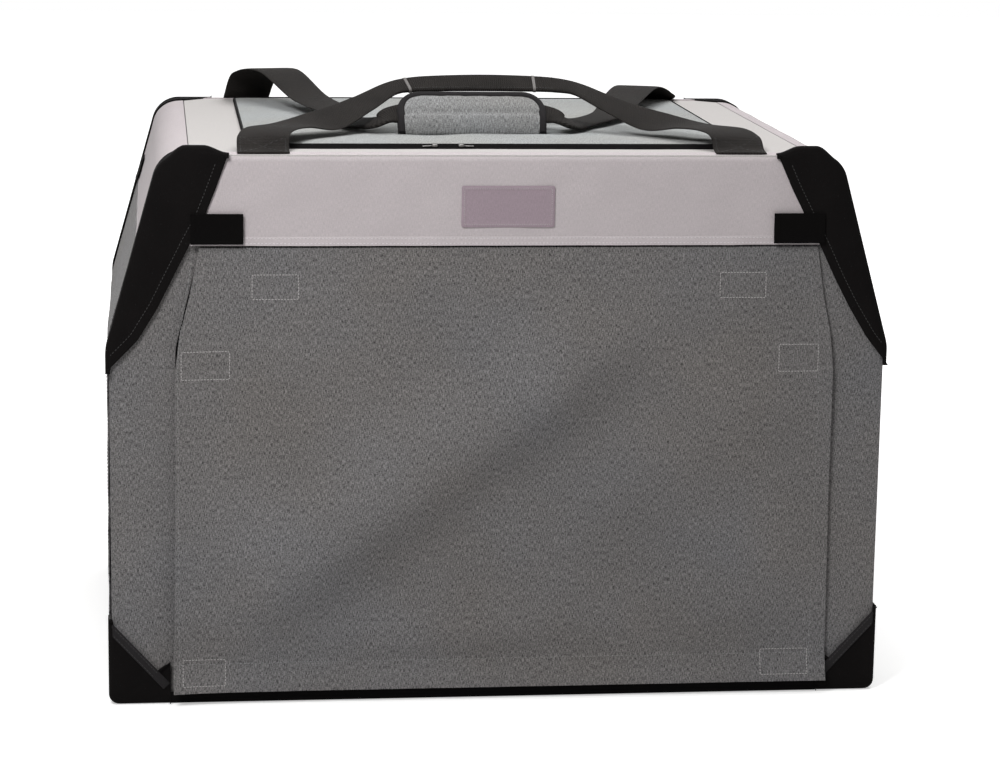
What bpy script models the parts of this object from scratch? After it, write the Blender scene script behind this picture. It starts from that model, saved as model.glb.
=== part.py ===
"""Folding soft dog crate with a six-sided tube frame.

Metres, +Z up. The origin is at the middle of the base, the front (door side)
faces -Y and the long side runs along X. The rear frame folds up to the front
frame on two side rails that break at an elbow and on a two-leaf floor.
"""
import math

import bmesh
import bpy
from mathutils import Matrix, Vector

# ---------------------------------------------------------------- dimensions
WIDTH = 0.762              # outside, along X at the knees
DEPTH = 0.533              # outside, along Y
HEIGHT = 0.540             # outside, to the top of the shell
KNEE_Z = HEIGHT - 0.188     # where the ends start to lean in
TOP_WIDTH = 0.656          # between the leaning sides at the top
BASE_R = 0.010             # corner radii of the outline
TUBE_BASE_R = 0.014        # and of the tube's centre line at the base
KNEE_R = 0.040
TOP_R = 0.030

CLOTH = 0.0015             # thickness of one layer of cloth
LAP = 0.0003               # air between two layers

TUBE_R = 0.008             # frame tube
RAIL_R = 0.0065            # side rail tube
RAIL_DROP = 0.0286         # rails below the top tube's centre line
RAIL_PIN_X = 0.298         # rail pins, from the middle
RAIL_OFFSET = 0.0078       # a rail's centre line, inward of its pins
PIN_R = 0.002
PIN_PLAY = 0.0003
EYE_R = 0.007              # eye of a tongue or fork round a rail pin
TONGUE = 0.004             # tongue thickness
FORK = 0.003               # fork plate thickness
RAIL_GAP = 0.012           # from a rail pin to the end of its tube
ARM_LENGTH = 0.022         # tongue or fork arm, from the pin
PIN_BACK = 0.0121          # rail and floor pins, inward of the frame tubes
HEAD_R = 0.004
HEAD_T = 0.0016
BUTTON_R = 0.003
BUTTON_Y = 0.032           # lock button, from the elbow
BUTTON_TOP = 0.0095        # above the rail's centre line

FLOOR_AXIS_Z = 0.0050      # floor hinge axes
FLOOR_HALF = 0.352         # half length of a floor board
BOARD_T = 0.0075
BOARD_LIFT = 0.0003        # board above its hinge axis
BOARD_START = 0.020        # board edge from the outer hinge axis
BOARD_END = 0.0042         # board edge from the crease axis
KNUCKLE_R = 0.0035
KNUCKLES = 11
ROD_R = 0.002
EAR_R = 0.0030
EAR_W = 0.010
CLIP_X = 0.220             # floor clips from the middle
CLIP_W = 0.028
CLIP_WALL = 0.0022

BAND_Z = HEIGHT - 0.0883    # lower edge of the light band
FLAP_TOP_Z = HEIGHT - 0.0898   # upper edge of a flap
FLAP_LOW_Z = 0.0130
FLAP_TOP_HALF = 0.3035
FLAP_KNEE_HALF = 0.3195
DOOR_LOW_Z = 0.022
DOOR_TOP_Z = HEIGHT - 0.0950
DOOR_HALF = 0.3145         # half width of the door opening below the knee
DOOR_TOP_HALF = 0.2915
SEAM = 0.0012              # slot left above a swinging panel
ZIP_W = 0.006
BINDING_W = 0.012
REAR_WINDOW_HALF = 0.290
REAR_WINDOW_LOW = 0.060
REAR_WINDOW_TOP = HEIGHT - 0.1100
END_WINDOW_HALF = DEPTH / 2 - 0.0765   # end windows, half width along Y
END_WINDOW_LOW = 0.060
END_WINDOW_TOP = HEIGHT - 0.1100
END_FLAP_HALF = DEPTH / 2 - 0.0545

TOP_LAP_X = 0.300          # the end bands stop here on top
DOOR_IN_TOP_HALF = 0.245   # top door opening, half length
TOP_DOOR_FRONT = 0.055     # from the front edge
TOP_DOOR_REAR = 0.030      # from the rear edge

COVER_EDGE = [(x, HEIGHT + rise) for x, rise in (
    (0.2685, 0.0200), (0.2685, 0.0010), (0.2820, -0.0340), (0.2945, -0.0640),
    (0.3085, -0.0925), (0.3225, -0.1210), (0.3370, -0.1500), (0.3560, -0.1800),
    (0.3815, -0.2105))]
COVER_WRAP = 0.018         # covers round the end, along Y
COVER_LENS = 0.034         # and over the rounded top corner
BASE_PATCH = ((0.3210, -0.01), (0.3210, 0.0425), (0.3322, 0.0325), (0.4200, 0.1287))
BINDING_H = 0.012

PATCH_X = 0.0035
PATCH_W = 0.090
PATCH_Z = HEIGHT - 0.051
PATCH_H = 0.040
TAB_W = 0.050
TAB_H = 0.029
TAB_TOP_Z = HEIGHT - 0.0575
TAB_LEFT_X = -0.279
TAB_RIGHT_X = 0.299
SIDE_TAB_Y = DEPTH / 2 - 0.0765

WEBBING_W = 0.050
WEBBING_T = 0.0024
STRAP_X = 0.230            # strap ends from the middle
GRIP_W = 0.025             # strap folded double in the middle
PAD_L = 0.150
PAD_H = 0.048
PAD_T = 0.012
PAD_TILT = 46.0            # degrees back from lying flat
PAD_X = -0.017
PAD_Y = -DEPTH / 2 + 0.1505
PAD_Z = HEIGHT + 0.0230

# layers from the outside in: 0 covers, 1 bands and flaps, 2 panels, 3 tube
def layer(n):
    return n * (CLOTH + LAP)


TUBE_IN = layer(3) + TUBE_R
TUBE_Y = DEPTH / 2 - TUBE_IN
LINK = TUBE_Y - PIN_BACK   # pin to pin of each half link, rails and floor
TUBE_TOP_Z = HEIGHT - TUBE_IN
RAIL_Z = TUBE_TOP_Z - RAIL_DROP
LEAN = (WIDTH - TOP_WIDTH) / 2 / (HEIGHT - KNEE_Z)

# ------------------------------------------------------------------ the scene
for old in list(bpy.data.objects):
    bpy.data.objects.remove(old, do_unlink=True)
crate = bpy.data.collections.new("folding_dog_crate")
bpy.context.scene.collection.children.link(crate)


def material(name, rgb, rough, metal=0.0):
    m = bpy.data.materials.new(name)
    m.use_nodes = True
    shader = m.node_tree.nodes["Principled BSDF"]
    shader.inputs["Base Color"].default_value = (*rgb, 1.0)
    shader.inputs["Roughness"].default_value = rough
    shader.inputs["Metallic"].default_value = metal
    m.diffuse_color = (*rgb, 1.0)
    return m


HEATHER = material("heather_cloth", (0.16, 0.16, 0.165), 0.95)
LIGHT = material("light_cloth", (0.47, 0.43, 0.44), 0.9)
BLACK = material("black_cloth", (0.02, 0.02, 0.022), 0.8)
WEBBING = material("webbing", (0.018, 0.018, 0.02), 0.7)
NET = material("window_net", (0.03, 0.03, 0.03), 0.8)
STEEL = material("painted_steel", (0.05, 0.05, 0.055), 0.4, 0.6)
ZINC = material("zinc_steel", (0.6, 0.6, 0.6), 0.35, 1.0)
PLASTIC = material("black_plastic", (0.025, 0.025, 0.027), 0.45)


# -------------------------------------------------------------- mesh builders
def finish(name, mesh, mat):
    mesh.materials.clear()
    mesh.materials.append(mat)
    obj = bpy.data.objects.new(name, mesh)
    crate.objects.link(obj)
    return obj


def closed(mesh):
    bm = bmesh.new()
    bm.from_mesh(mesh)
    bmesh.ops.remove_doubles(bm, verts=bm.verts, dist=1e-6)
    bmesh.ops.recalc_face_normals(bm, faces=bm.faces)
    bm.to_mesh(mesh)
    bm.free()


def solid_of_curve(curve, matrix):
    """The closed mesh of a curve that is extruded or bevelled."""
    guide = bpy.data.objects.new("guide", curve)
    crate.objects.link(guide)
    bpy.context.view_layer.update()
    graph = bpy.context.evaluated_depsgraph_get()
    mesh = bpy.data.meshes.new_from_object(guide.evaluated_get(graph))
    bpy.data.objects.remove(guide, do_unlink=True)
    mesh.transform(matrix)
    closed(mesh)
    return mesh


ALONG = {
    "X": Matrix(((0, 0, 1, 0), (1, 0, 0, 0), (0, 1, 0, 0), (0, 0, 0, 1))),
    "Y": Matrix(((1, 0, 0, 0), (0, 0, -1, 0), (0, 1, 0, 0), (0, 0, 0, 1))),
    "Z": Matrix.Identity(4),
}


FILL = 100.0               # outlines are filled at this scale, then brought back


def prism(name, loops, axis, low, high, mat):
    """A flat outline with holes, extruded along an axis from low to high."""
    curve = bpy.data.curves.new(name, "CURVE")
    curve.dimensions = "2D"
    curve.fill_mode = "BOTH"
    curve.extrude = FILL * (high - low) / 2
    for loop in loops:
        line = curve.splines.new("POLY")
        line.points.add(len(loop) - 1)
        for p, (u, v) in zip(line.points, loop):
            p.co = (FILL * u, FILL * v, 0, 1)
        line.use_cyclic_u = True
    middle = (low + high) / 2
    shift = {"X": (middle, 0, 0), "Y": (0, middle, 0), "Z": (0, 0, middle)}[axis]
    mesh = solid_of_curve(curve, Matrix.Translation(shift) @ ALONG[axis]
                          @ Matrix.Diagonal((1 / FILL, 1 / FILL, 1 / FILL, 1)))
    return finish(name, mesh, mat)


def tube(name, points, radius, mat, ring=False, sides=2):
    curve = bpy.data.curves.new(name, "CURVE")
    curve.dimensions = "3D"
    curve.bevel_depth = radius
    curve.bevel_resolution = sides
    curve.use_fill_caps = True
    line = curve.splines.new("POLY")
    line.points.add(len(points) - 1)
    for p, co in zip(line.points, points):
        p.co = (*co, 1)
    line.use_cyclic_u = ring
    obj = finish(name, solid_of_curve(curve, Matrix.Identity(4)), mat)
    obj.data.shade_smooth()
    obj.data.set_sharp_from_angle(angle=math.radians(50))
    return obj


def box(name, low, high, mat):
    bm = bmesh.new()
    bmesh.ops.create_cube(bm, size=1.0)
    size = [b - a for a, b in zip(low, high)]
    mid = [(a + b) / 2 for a, b in zip(low, high)]
    bm.transform(Matrix.Translation(mid) @ Matrix.Diagonal((*size, 1)))
    mesh = bpy.data.meshes.new(name)
    bm.to_mesh(mesh)
    bm.free()
    return finish(name, mesh, mat)


def rod(name, a, b, radius, mat, sides=16):
    a, b = Vector(a), Vector(b)
    turn = (b - a).to_track_quat("Z", "Y").to_matrix().to_4x4()
    bm = bmesh.new()
    bmesh.ops.create_cone(bm, cap_ends=True, segments=sides, radius1=radius,
                          radius2=radius, depth=(b - a).length)
    bm.transform(Matrix.Translation((a + b) / 2) @ turn)
    mesh = bpy.data.meshes.new(name)
    bm.to_mesh(mesh)
    bm.free()
    obj = finish(name, mesh, mat)
    mesh.shade_smooth()
    mesh.set_sharp_from_angle(angle=math.radians(40))
    return obj


def combine(obj, others, operation):
    """Join, cut or intersect with the others, which are used up."""
    for other in others:
        step = obj.modifiers.new(operation, "BOOLEAN")
        step.operation = operation
        step.object = other
        bpy.context.view_layer.update()
        graph = bpy.context.evaluated_depsgraph_get()
        mesh = bpy.data.meshes.new_from_object(obj.evaluated_get(graph))
        obj.modifiers.clear()
        obj.data = mesh
        bpy.data.objects.remove(other, do_unlink=True)
    return obj


# ------------------------------------------------------------------- outlines
def inset(points, d):
    """A convex outline, anticlockwise, with each side moved in by d."""
    out = []
    for i, p in enumerate(points):
        before, after = Vector(points[i - 1]), Vector(points[(i + 1) % len(points)])
        p = Vector(p)
        u, v = (p - before).normalized(), (after - p).normalized()
        n, m = Vector((-u.y, u.x)), Vector((-v.y, v.x))
        out.append(tuple(p + (n + m) * (d / (1 + n.dot(m)))))
    return out


def fillet(points, radii, steps=5):
    """The outline with an arc of the given radius at each corner."""
    out = []
    for i, (p, r) in enumerate(zip(points, radii)):
        p = Vector(p)
        u = (Vector(points[i - 1]) - p).normalized()
        v = (Vector(points[(i + 1) % len(points)]) - p).normalized()
        half = u.angle(v) / 2
        if r <= 0:
            out.append(tuple(p))
            continue
        centre = p + (u + v).normalized() * (r / math.sin(half))
        start = p + u * (r / math.tan(half)) - centre
        stop = p + v * (r / math.tan(half)) - centre
        turn = math.copysign((math.pi - 2 * half) / steps, start.x * stop.y - start.y * stop.x)
        for k in range(steps + 1):
            c, s = math.cos(k * turn), math.sin(k * turn)
            out.append((centre.x + start.x * c - start.y * s,
                        centre.y + start.x * s + start.y * c))
    return out


HEX = [(-WIDTH / 2, 0), (WIDTH / 2, 0), (WIDTH / 2, KNEE_Z),
       (TOP_WIDTH / 2, HEIGHT), (-TOP_WIDTH / 2, HEIGHT), (-WIDTH / 2, KNEE_Z)]


def outline(d):
    """The six-sided outline, d inside the outermost surface."""
    radii = [r - d if r > d else TUBE_BASE_R
             for r in (BASE_R, BASE_R, KNEE_R, TOP_R, TOP_R, KNEE_R)]
    return fillet(inset(HEX, d), radii)


def clip(points, a, b, c):
    """The part of a convex outline where a*u + b*v >= c."""
    out = []
    for i, p in enumerate(points):
        q = points[i - 1]
        fp, fq = a * p[0] + b * p[1] - c, a * q[0] + b * q[1] - c
        if (fp >= 0) != (fq >= 0):
            t = fq / (fq - fp)
            out.append((q[0] + (p[0] - q[0]) * t, q[1] + (p[1] - q[1]) * t))
        if fp >= 0:
            out.append(p)
    return out


def end_path(d, low, high=None, stop_x=None):
    """The outline's right side from height low up to a height or a top x."""
    pts = [p for p in outline(d) if p[0] > 0]
    path = []
    for p, q in zip(pts, pts[1:] + [(0.0, HEIGHT - d)]):
        if p[1] < low < q[1]:
            t = (low - p[1]) / (q[1] - p[1])
            path.append((p[0] + (q[0] - p[0]) * t, low))
        if p[1] >= low and path:
            path.append(p)
        if high is not None and p[1] < high <= q[1]:
            t = (high - p[1]) / (q[1] - p[1])
            path.append((p[0] + (q[0] - p[0]) * t, high))
            return path
        if stop_x is not None and q[0] < stop_x < p[0]:
            path.append((stop_x, HEIGHT - d))
            return path
    return path


def end_sheet(name, side, n, low, half, mat, high=None, stop_x=None):
    """A cloth sheet that follows an end of the crate, in layer n."""
    outer = end_path(layer(n), low, high, stop_x)
    inner = end_path(layer(n) + CLOTH, low, high, stop_x)
    loop = [(side * x, z) for x, z in outer + inner[::-1]]
    return prism(name, [loop], "Y", -half, half, mat)


def face_y(front, n):
    """(low, high) along Y of layer n on the front or rear face."""
    outer = DEPTH / 2 - layer(n)
    return (-outer, -outer + CLOTH) if front else (outer - CLOTH, outer)


# --------------------------------------------------------------------- frames
def frame_tube(name, y):
    path = [(x, y, z) for x, z in outline(TUBE_IN)]
    return tube(name, path, TUBE_R, STEEL, ring=True, sides=4)


def lean_x(z, d):
    """Half width on the leaning sides at height z, d inside the outline."""
    return WIDTH / 2 - (z - KNEE_Z) * LEAN - d * math.hypot(1, LEAN)


def pan(front, wrap, thick):
    """A dish that caps the front or the rear, wrapping round the edge."""
    low, high = (-DEPTH / 2, -DEPTH / 2 + wrap)
    dish = prism("pan", [outline(0)], "Y", low, high, BLACK)
    core = prism("core", [outline(thick)], "Y", low + thick, high + 0.01, BLACK)
    combine(dish, [core], "DIFFERENCE")
    bm = bmesh.new()
    bm.from_mesh(dish.data)
    bmesh.ops.dissolve_limit(bm, angle_limit=0.001, verts=bm.verts, edges=bm.edges)
    bm.to_mesh(dish.data)
    bm.free()
    if not front:
        dish.data.transform(Matrix.Rotation(math.pi, 4, "Z"))
    return dish


def trimmed(name, front, side, wrap, thick, picks, lens=None):
    """The part of the dish inside each picked outline, mirrored to a side."""
    obj = pan(front, wrap, thick)
    obj.name = name
    cutters = [prism("pick", [[(side * x, z) for x, z in picks]], "Y", -1, 1, BLACK)]
    if lens:
        sign = -1 if front else 1
        cutters.append(prism("lens", [[(side * x, sign * (DEPTH / 2 - y))
                                       for x, y in lens]], "Z", -0.1, 1, BLACK))
    return combine(obj, cutters, "INTERSECT")


BASE_T = layer(2) - LAP    # the base pieces lie straight on the panels
COVER_PICK = COVER_EDGE + [(0.42, HEIGHT - 0.24), (0.42, HEIGHT + 0.02)]
LENS = [(0.25, -0.01), (0.25, 0.006)] + [
    (0.2685 + 0.0765 * k / 8,
     0.006 + (COVER_LENS - 0.006) * math.sin(math.pi * min(k, 7) / 9)) for k in range(9)
] + [(0.350, COVER_WRAP), (0.42, COVER_WRAP), (0.42, -0.01)]
BASE_PICK = list(BASE_PATCH) + [(0.42, -0.01)]
BIND_PICK = [(-BASE_PATCH[0][0] + LAP, -0.01), (BASE_PATCH[0][0] - LAP, -0.01),
             (BASE_PATCH[0][0] - LAP, BINDING_H), (-BASE_PATCH[0][0] + LAP, BINDING_H)]


def circle(radius, n=20):
    return [(radius * math.cos(2 * math.pi * (k + 0.5) / n),
             radius * math.sin(2 * math.pi * (k + 0.5) / n)) for k in range(n)]


def eye_outline():
    """Eye round a rail pin with its arm: u inward from the pin, v along the rail."""
    edge_u = 2 * LAP
    far_u = RAIL_OFFSET + 0.85 * RAIL_R
    low_v = -EYE_R / 6
    a0 = math.asin(low_v / EYE_R)
    a1 = math.acos(edge_u / EYE_R) - 2 * math.pi
    arc = [(EYE_R * math.cos(t), EYE_R * math.sin(t))
           for t in (a0 + (a1 - a0) * k / 14 for k in range(15))]
    return [(far_u, low_v)] + arc + [(edge_u, ARM_LENGTH), (far_u, ARM_LENGTH)]


def eye_bar(name, side, pins, fork_at, mat):
    """Half a side rail between two pins, with a tongue or fork at each end."""
    x = side * RAIL_PIN_X
    xc = x - side * RAIL_OFFSET
    y0, y1 = pins
    bar = rod(name, (xc, y0 + RAIL_GAP, RAIL_Z), (xc, y1 - RAIL_GAP, RAIL_Z),
              RAIL_R, mat, 12)
    adds = []
    for y, sign in ((y0, 1), (y1, -1)):
        if y in fork_at:
            plates = [(TONGUE / 2 + LAP, TONGUE / 2 + LAP + FORK),
                      (-TONGUE / 2 - LAP - FORK, -TONGUE / 2 - LAP)]
        else:
            plates = [(-TONGUE / 2, TONGUE / 2)]
        for low, high in plates:
            loops = [[(x - side * u, y + sign * v) for u, v in loop]
                     for loop in (eye_outline(), circle(PIN_R + PIN_PLAY))]
            adds.append(prism("lug", loops, "Z", RAIL_Z + low, RAIL_Z + high, mat))
    return combine(bar, adds, "UNION")


def rail_bracket(name, side, front):
    """A saddle on the leaning tube with a fork and pin for the rail."""
    sign = -1 if front else 1
    x = side * RAIL_PIN_X
    y = sign * LINK
    tx = side * lean_x(RAIL_Z, TUBE_IN)
    ty = sign * TUBE_Y
    root_x = side * (RAIL_PIN_X + EYE_R + 0.0015)
    half = TONGUE / 2 + LAP + FORK
    xs = sorted((root_x, tx))
    ys = sorted((y - sign * 0.006, ty))
    body = box(name, (xs[0], ys[0], RAIL_Z - half - 0.003),
               (xs[1], ys[1], RAIL_Z + half + 0.003), STEEL)
    adds = []
    for s in (1, -1):
        a, b = RAIL_Z + s * (half - FORK), RAIL_Z + s * half
        eye = rod("eye", (x, y, min(a, b)), (x, y, max(a, b)), EYE_R, STEEL, 20)
        arm_x = sorted((x, root_x + side * 0.001))
        arm = box("arm", (arm_x[0], y - 0.0055, min(a, b)),
                  (arm_x[1], y + 0.0055, max(a, b)), STEEL)
        adds.append(combine(eye, [arm], "UNION"))
    adds.append(rod("pin", (x, y, RAIL_Z - half), (x, y, RAIL_Z + half), PIN_R, STEEL))
    combine(body, adds, "UNION")
    lean = Vector((-side * LEAN, 0, 1)).normalized() * 0.04
    mid = Vector((tx, ty, RAIL_Z))
    return combine(body, [rod("bed", mid - lean, mid + lean, TUBE_R + LAP, STEEL, 24)],
                   "DIFFERENCE")


def floor_clip(name, side, front):
    """A saddle over the bottom tube with two cheeks and the floor's pin."""
    sign = -1 if front else 1
    x, y = side * CLIP_X, sign * LINK
    ty, tz = sign * TUBE_Y, TUBE_IN
    ys = sorted((ty, y - sign * 0.0048))
    body = box(name, (x - CLIP_W / 2, ys[0], layer(3) - CLOTH),
               (x + CLIP_W / 2, ys[1], tz + TUBE_R + CLIP_WALL), PLASTIC)
    slot_y = sorted((sign * (TUBE_Y - TUBE_R) - sign * 0.0005, sign * (LINK - 0.02)))
    cuts = [rod("bed", (x - 0.03, ty, tz), (x + 0.03, ty, tz), TUBE_R + LAP, PLASTIC, 24),
            box("slot", (x - EAR_W / 2 - 0.0006, slot_y[0], -0.01),
                (x + EAR_W / 2 + 0.0006, slot_y[1], 0.05), PLASTIC)]
    combine(body, cuts, "DIFFERENCE")
    pin = rod("pin", (x - CLIP_W / 2 + 0.002, y, FLOOR_AXIS_Z),
              (x + CLIP_W / 2 - 0.002, y, FLOOR_AXIS_Z), EAR_R / 2, PLASTIC)
    return combine(body, [pin], "UNION")


def floor_board(name, front):
    """One floor leaf: board, ears for the clips and its share of knuckles."""
    sign = -1 if front else 1
    under = FLOOR_AXIS_Z + BOARD_LIFT
    ys = sorted((sign * (LINK - BOARD_START), sign * BOARD_END))
    corner = fillet([(-FLOOR_HALF, ys[0]), (FLOOR_HALF, ys[0]),
                     (FLOOR_HALF, ys[1]), (-FLOOR_HALF, ys[1])], [0.006] * 4, 3)
    board = prism(name, [corner], "Z", under, under + BOARD_T, PLASTIC)
    adds, holes = [], []
    for side in (-1, 1):
        x, y = side * CLIP_X, sign * LINK
        ear = rod("ear", (x - EAR_W / 2, y, FLOOR_AXIS_Z), (x + EAR_W / 2, y, FLOOR_AXIS_Z),
                  EAR_R, PLASTIC)
        arm_y = sorted((y, sign * (LINK - BOARD_START - 0.004)))
        arm = box("arm", (x - EAR_W / 2 + LAP, arm_y[0], under + LAP),
                  (x + EAR_W / 2 - LAP, arm_y[1], FLOOR_AXIS_Z + EAR_R - 0.0001), PLASTIC)
        adds.append(combine(ear, [arm], "UNION"))
        holes.append(rod("hole", (x - 0.02, y, FLOOR_AXIS_Z), (x + 0.02, y, FLOOR_AXIS_Z),
                         EAR_R / 2 + PIN_PLAY, PLASTIC))
    pitch = (2 * FLOOR_HALF - 0.03) / KNUCKLES
    for k in range(KNUCKLES):
        if (k % 2 == 0) != front:
            continue
        a = -FLOOR_HALF + 0.015 + k * pitch + LAP
        b = a + pitch - 2 * LAP
        knuckle = rod("knuckle", (a, 0, FLOOR_AXIS_Z), (b, 0, FLOOR_AXIS_Z), KNUCKLE_R,
                      PLASTIC, 12)
        neck_y = sorted((0.0, sign * (BOARD_END + 0.003)))
        neck = box("neck", (a + LAP, neck_y[0], under + LAP),
                   (b - LAP, neck_y[1], FLOOR_AXIS_Z + KNUCKLE_R - 0.0004), PLASTIC)
        adds.append(combine(knuckle, [neck], "UNION"))
    combine(board, adds, "UNION")
    holes.append(rod("bore", (-FLOOR_HALF - 0.01, 0, FLOOR_AXIS_Z),
                     (FLOOR_HALF + 0.01, 0, FLOOR_AXIS_Z), ROD_R + PIN_PLAY, PLASTIC))
    return combine(board, holes, "DIFFERENCE")


# --------------------------------------------------------------- soft straps
def smooth_path(stations, steps):
    """Catmull-Rom through rows of numbers."""
    rows = [list(s) for s in stations]
    rows = [rows[0]] + rows + [rows[-1]]
    out = []
    for i in range(1, len(rows) - 2):
        for k in range(steps):
            t = k / steps
            out.append([0.5 * (2 * b + (c - a) * t + (2 * a - 5 * b + 4 * c - d) * t * t
                               + (3 * b - a - 3 * c + d) * t ** 3)
                        for a, b, c, d in zip(*rows[i - 1:i + 3])])
    return out + [rows[-2]]


def ribbon(name, stations, mat, steps=4):
    """A strap through stations of centre (3), width direction (3), width, thickness."""
    rows = smooth_path(stations, steps)
    bm = bmesh.new()
    rings = []
    for i, row in enumerate(rows):
        c, w = Vector(row[:3]), Vector(row[3:6])
        ahead = Vector(rows[min(i + 1, len(rows) - 1)][:3]) - Vector(rows[max(i - 1, 0)][:3])
        ahead.normalize()
        w = (w - ahead * w.dot(ahead)).normalized()
        n = ahead.cross(w).normalized()
        a, b = w * row[6] / 2, n * row[7] / 2
        rings.append([bm.verts.new(c + s * a + t * b)
                      for s, t in ((-1, -1), (1, -1), (1, 1), (-1, 1))])
    for r, q in zip(rings, rings[1:]):
        for k in range(4):
            bm.faces.new((r[k], r[(k + 1) % 4], q[(k + 1) % 4], q[k]))
    bm.faces.new(rings[0][::-1])
    bm.faces.new(rings[-1])
    bmesh.ops.recalc_face_normals(bm, faces=bm.faces)
    mesh = bpy.data.meshes.new(name)
    bm.to_mesh(mesh)
    bm.free()
    return finish(name, mesh, mat)


# --------------------------------------------------------------------- pieces
LEFT, RIGHT = -1, 1
part = {}


def add(obj):
    part[obj.name] = obj
    return obj


for front in (True, False):
    end = "front" if front else "rear"
    sign = -1 if front else 1
    add(frame_tube(f"{end}_frame_tube", sign * TUBE_Y))

    if front:
        opening = fillet([(-DOOR_HALF, DOOR_LOW_Z), (DOOR_HALF, DOOR_LOW_Z),
                          (DOOR_HALF, KNEE_Z), (DOOR_TOP_HALF, DOOR_TOP_Z + SEAM),
                          (-DOOR_TOP_HALF, DOOR_TOP_Z + SEAM), (-DOOR_HALF, KNEE_Z)],
                         [0.03, 0.03, 0.06, 0.012, 0.012, 0.06], 4)
    else:
        opening = fillet([(-REAR_WINDOW_HALF, REAR_WINDOW_LOW), (REAR_WINDOW_HALF, REAR_WINDOW_LOW),
                          (REAR_WINDOW_HALF, REAR_WINDOW_TOP), (-REAR_WINDOW_HALF, REAR_WINDOW_TOP)],
                         [0.04] * 4, 4)
    add(prism(f"{end}_skin", [outline(layer(2)), opening], "Y", *face_y(front, 2), HEATHER))
    band = clip(outline(layer(1)), 0, 1, BAND_Z)
    add(prism(f"{end}_band", [band], "Y", *face_y(front, 1), LIGHT))
    flap = fillet([(-FLAP_KNEE_HALF, FLAP_LOW_Z), (FLAP_KNEE_HALF, FLAP_LOW_Z),
                   (FLAP_KNEE_HALF, KNEE_Z), (FLAP_TOP_HALF, FLAP_TOP_Z),
                   (-FLAP_TOP_HALF, FLAP_TOP_Z), (-FLAP_KNEE_HALF, KNEE_Z)],
                  [0.003, 0.003, 0.05, 0.003, 0.003, 0.05], 4)
    add(prism(f"{end}_flap", [flap], "Y", *face_y(front, 1), HEATHER))

    for side, word in ((LEFT, "left"), (RIGHT, "right")):
        add(trimmed(f"{end}_corner_cover_{word}", front, side, COVER_LENS + 0.01, CLOTH,
                    COVER_PICK, LENS))
        add(trimmed(f"{end}_base_corner_{word}", front, side, COVER_WRAP, BASE_T, BASE_PICK))
        add(rail_bracket(f"{end}_rail_bracket_{word}", side, front))
        add(floor_clip(f"{end}_floor_clip_{word}", side, front))
    add(trimmed(f"{end}_base_binding", front, RIGHT, COVER_WRAP, BASE_T, BIND_PICK))

# front door: zip, binding and net lie in the panel's own layer
def door_loop(d):
    return fillet(inset([(-DOOR_HALF, DOOR_LOW_Z), (DOOR_HALF, DOOR_LOW_Z),
                         (DOOR_HALF, KNEE_Z), (DOOR_TOP_HALF, DOOR_TOP_Z + SEAM),
                         (-DOOR_TOP_HALF, DOOR_TOP_Z + SEAM), (-DOOR_HALF, KNEE_Z)], d),
                  [0.03 - d, 0.03 - d, 0.06 - d, 0, 0, 0.06 - d], 4)


y_panel = face_y(True, 2)
zip_ring = prism("front_door_zip", [door_loop(LAP), door_loop(LAP + ZIP_W)], "Y", *y_panel, BLACK)
add(combine(zip_ring, [box("top", (-1, -1, DOOR_TOP_Z - 0.010), (1, 1, 1), BLACK)], "DIFFERENCE"))
edge = 2 * LAP + ZIP_W
leaf = clip(door_loop(edge), 0, -1, -(DOOR_TOP_Z - LAP))
hole = clip(door_loop(edge + BINDING_W), 0, -1, -(DOOR_TOP_Z - LAP - BINDING_W))
net = clip(door_loop(edge + BINDING_W + LAP), 0, -1, -(DOOR_TOP_Z - 2 * LAP - BINDING_W))
add(prism("front_door_binding", [leaf, hole], "Y", *y_panel, BLACK))
add(prism("front_door_mesh", [net], "Y", *y_panel, NET))
pull_x = DOOR_HALF - LAP - ZIP_W / 2
inner = -DEPTH / 2 + layer(2) + CLOTH + LAP
pull = prism("front_zip_pull", [fillet([(pull_x - 0.004, 0.086), (pull_x + 0.004, 0.086),
                                        (pull_x + 0.0045, 0.118), (pull_x - 0.0045, 0.118)],
                                       [0.003, 0.003, 0.002, 0.002], 3),
                               fillet([(pull_x - 0.002, 0.090), (pull_x + 0.002, 0.090),
                                       (pull_x + 0.002, 0.098), (pull_x - 0.002, 0.098)],
                                      [0.001] * 4, 2)], "Y", inner, inner + 0.002, ZINC)
add(pull)

y_rear = face_y(False, 2)
add(prism("rear_window_mesh", [fillet([(-REAR_WINDOW_HALF + LAP, REAR_WINDOW_LOW + LAP),
                                       (REAR_WINDOW_HALF - LAP, REAR_WINDOW_LOW + LAP),
                                       (REAR_WINDOW_HALF - LAP, REAR_WINDOW_TOP - LAP),
                                       (-REAR_WINDOW_HALF + LAP, REAR_WINDOW_TOP - LAP)],
                                      [0.04 - LAP] * 4, 4)], "Y", *y_rear, NET))

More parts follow.
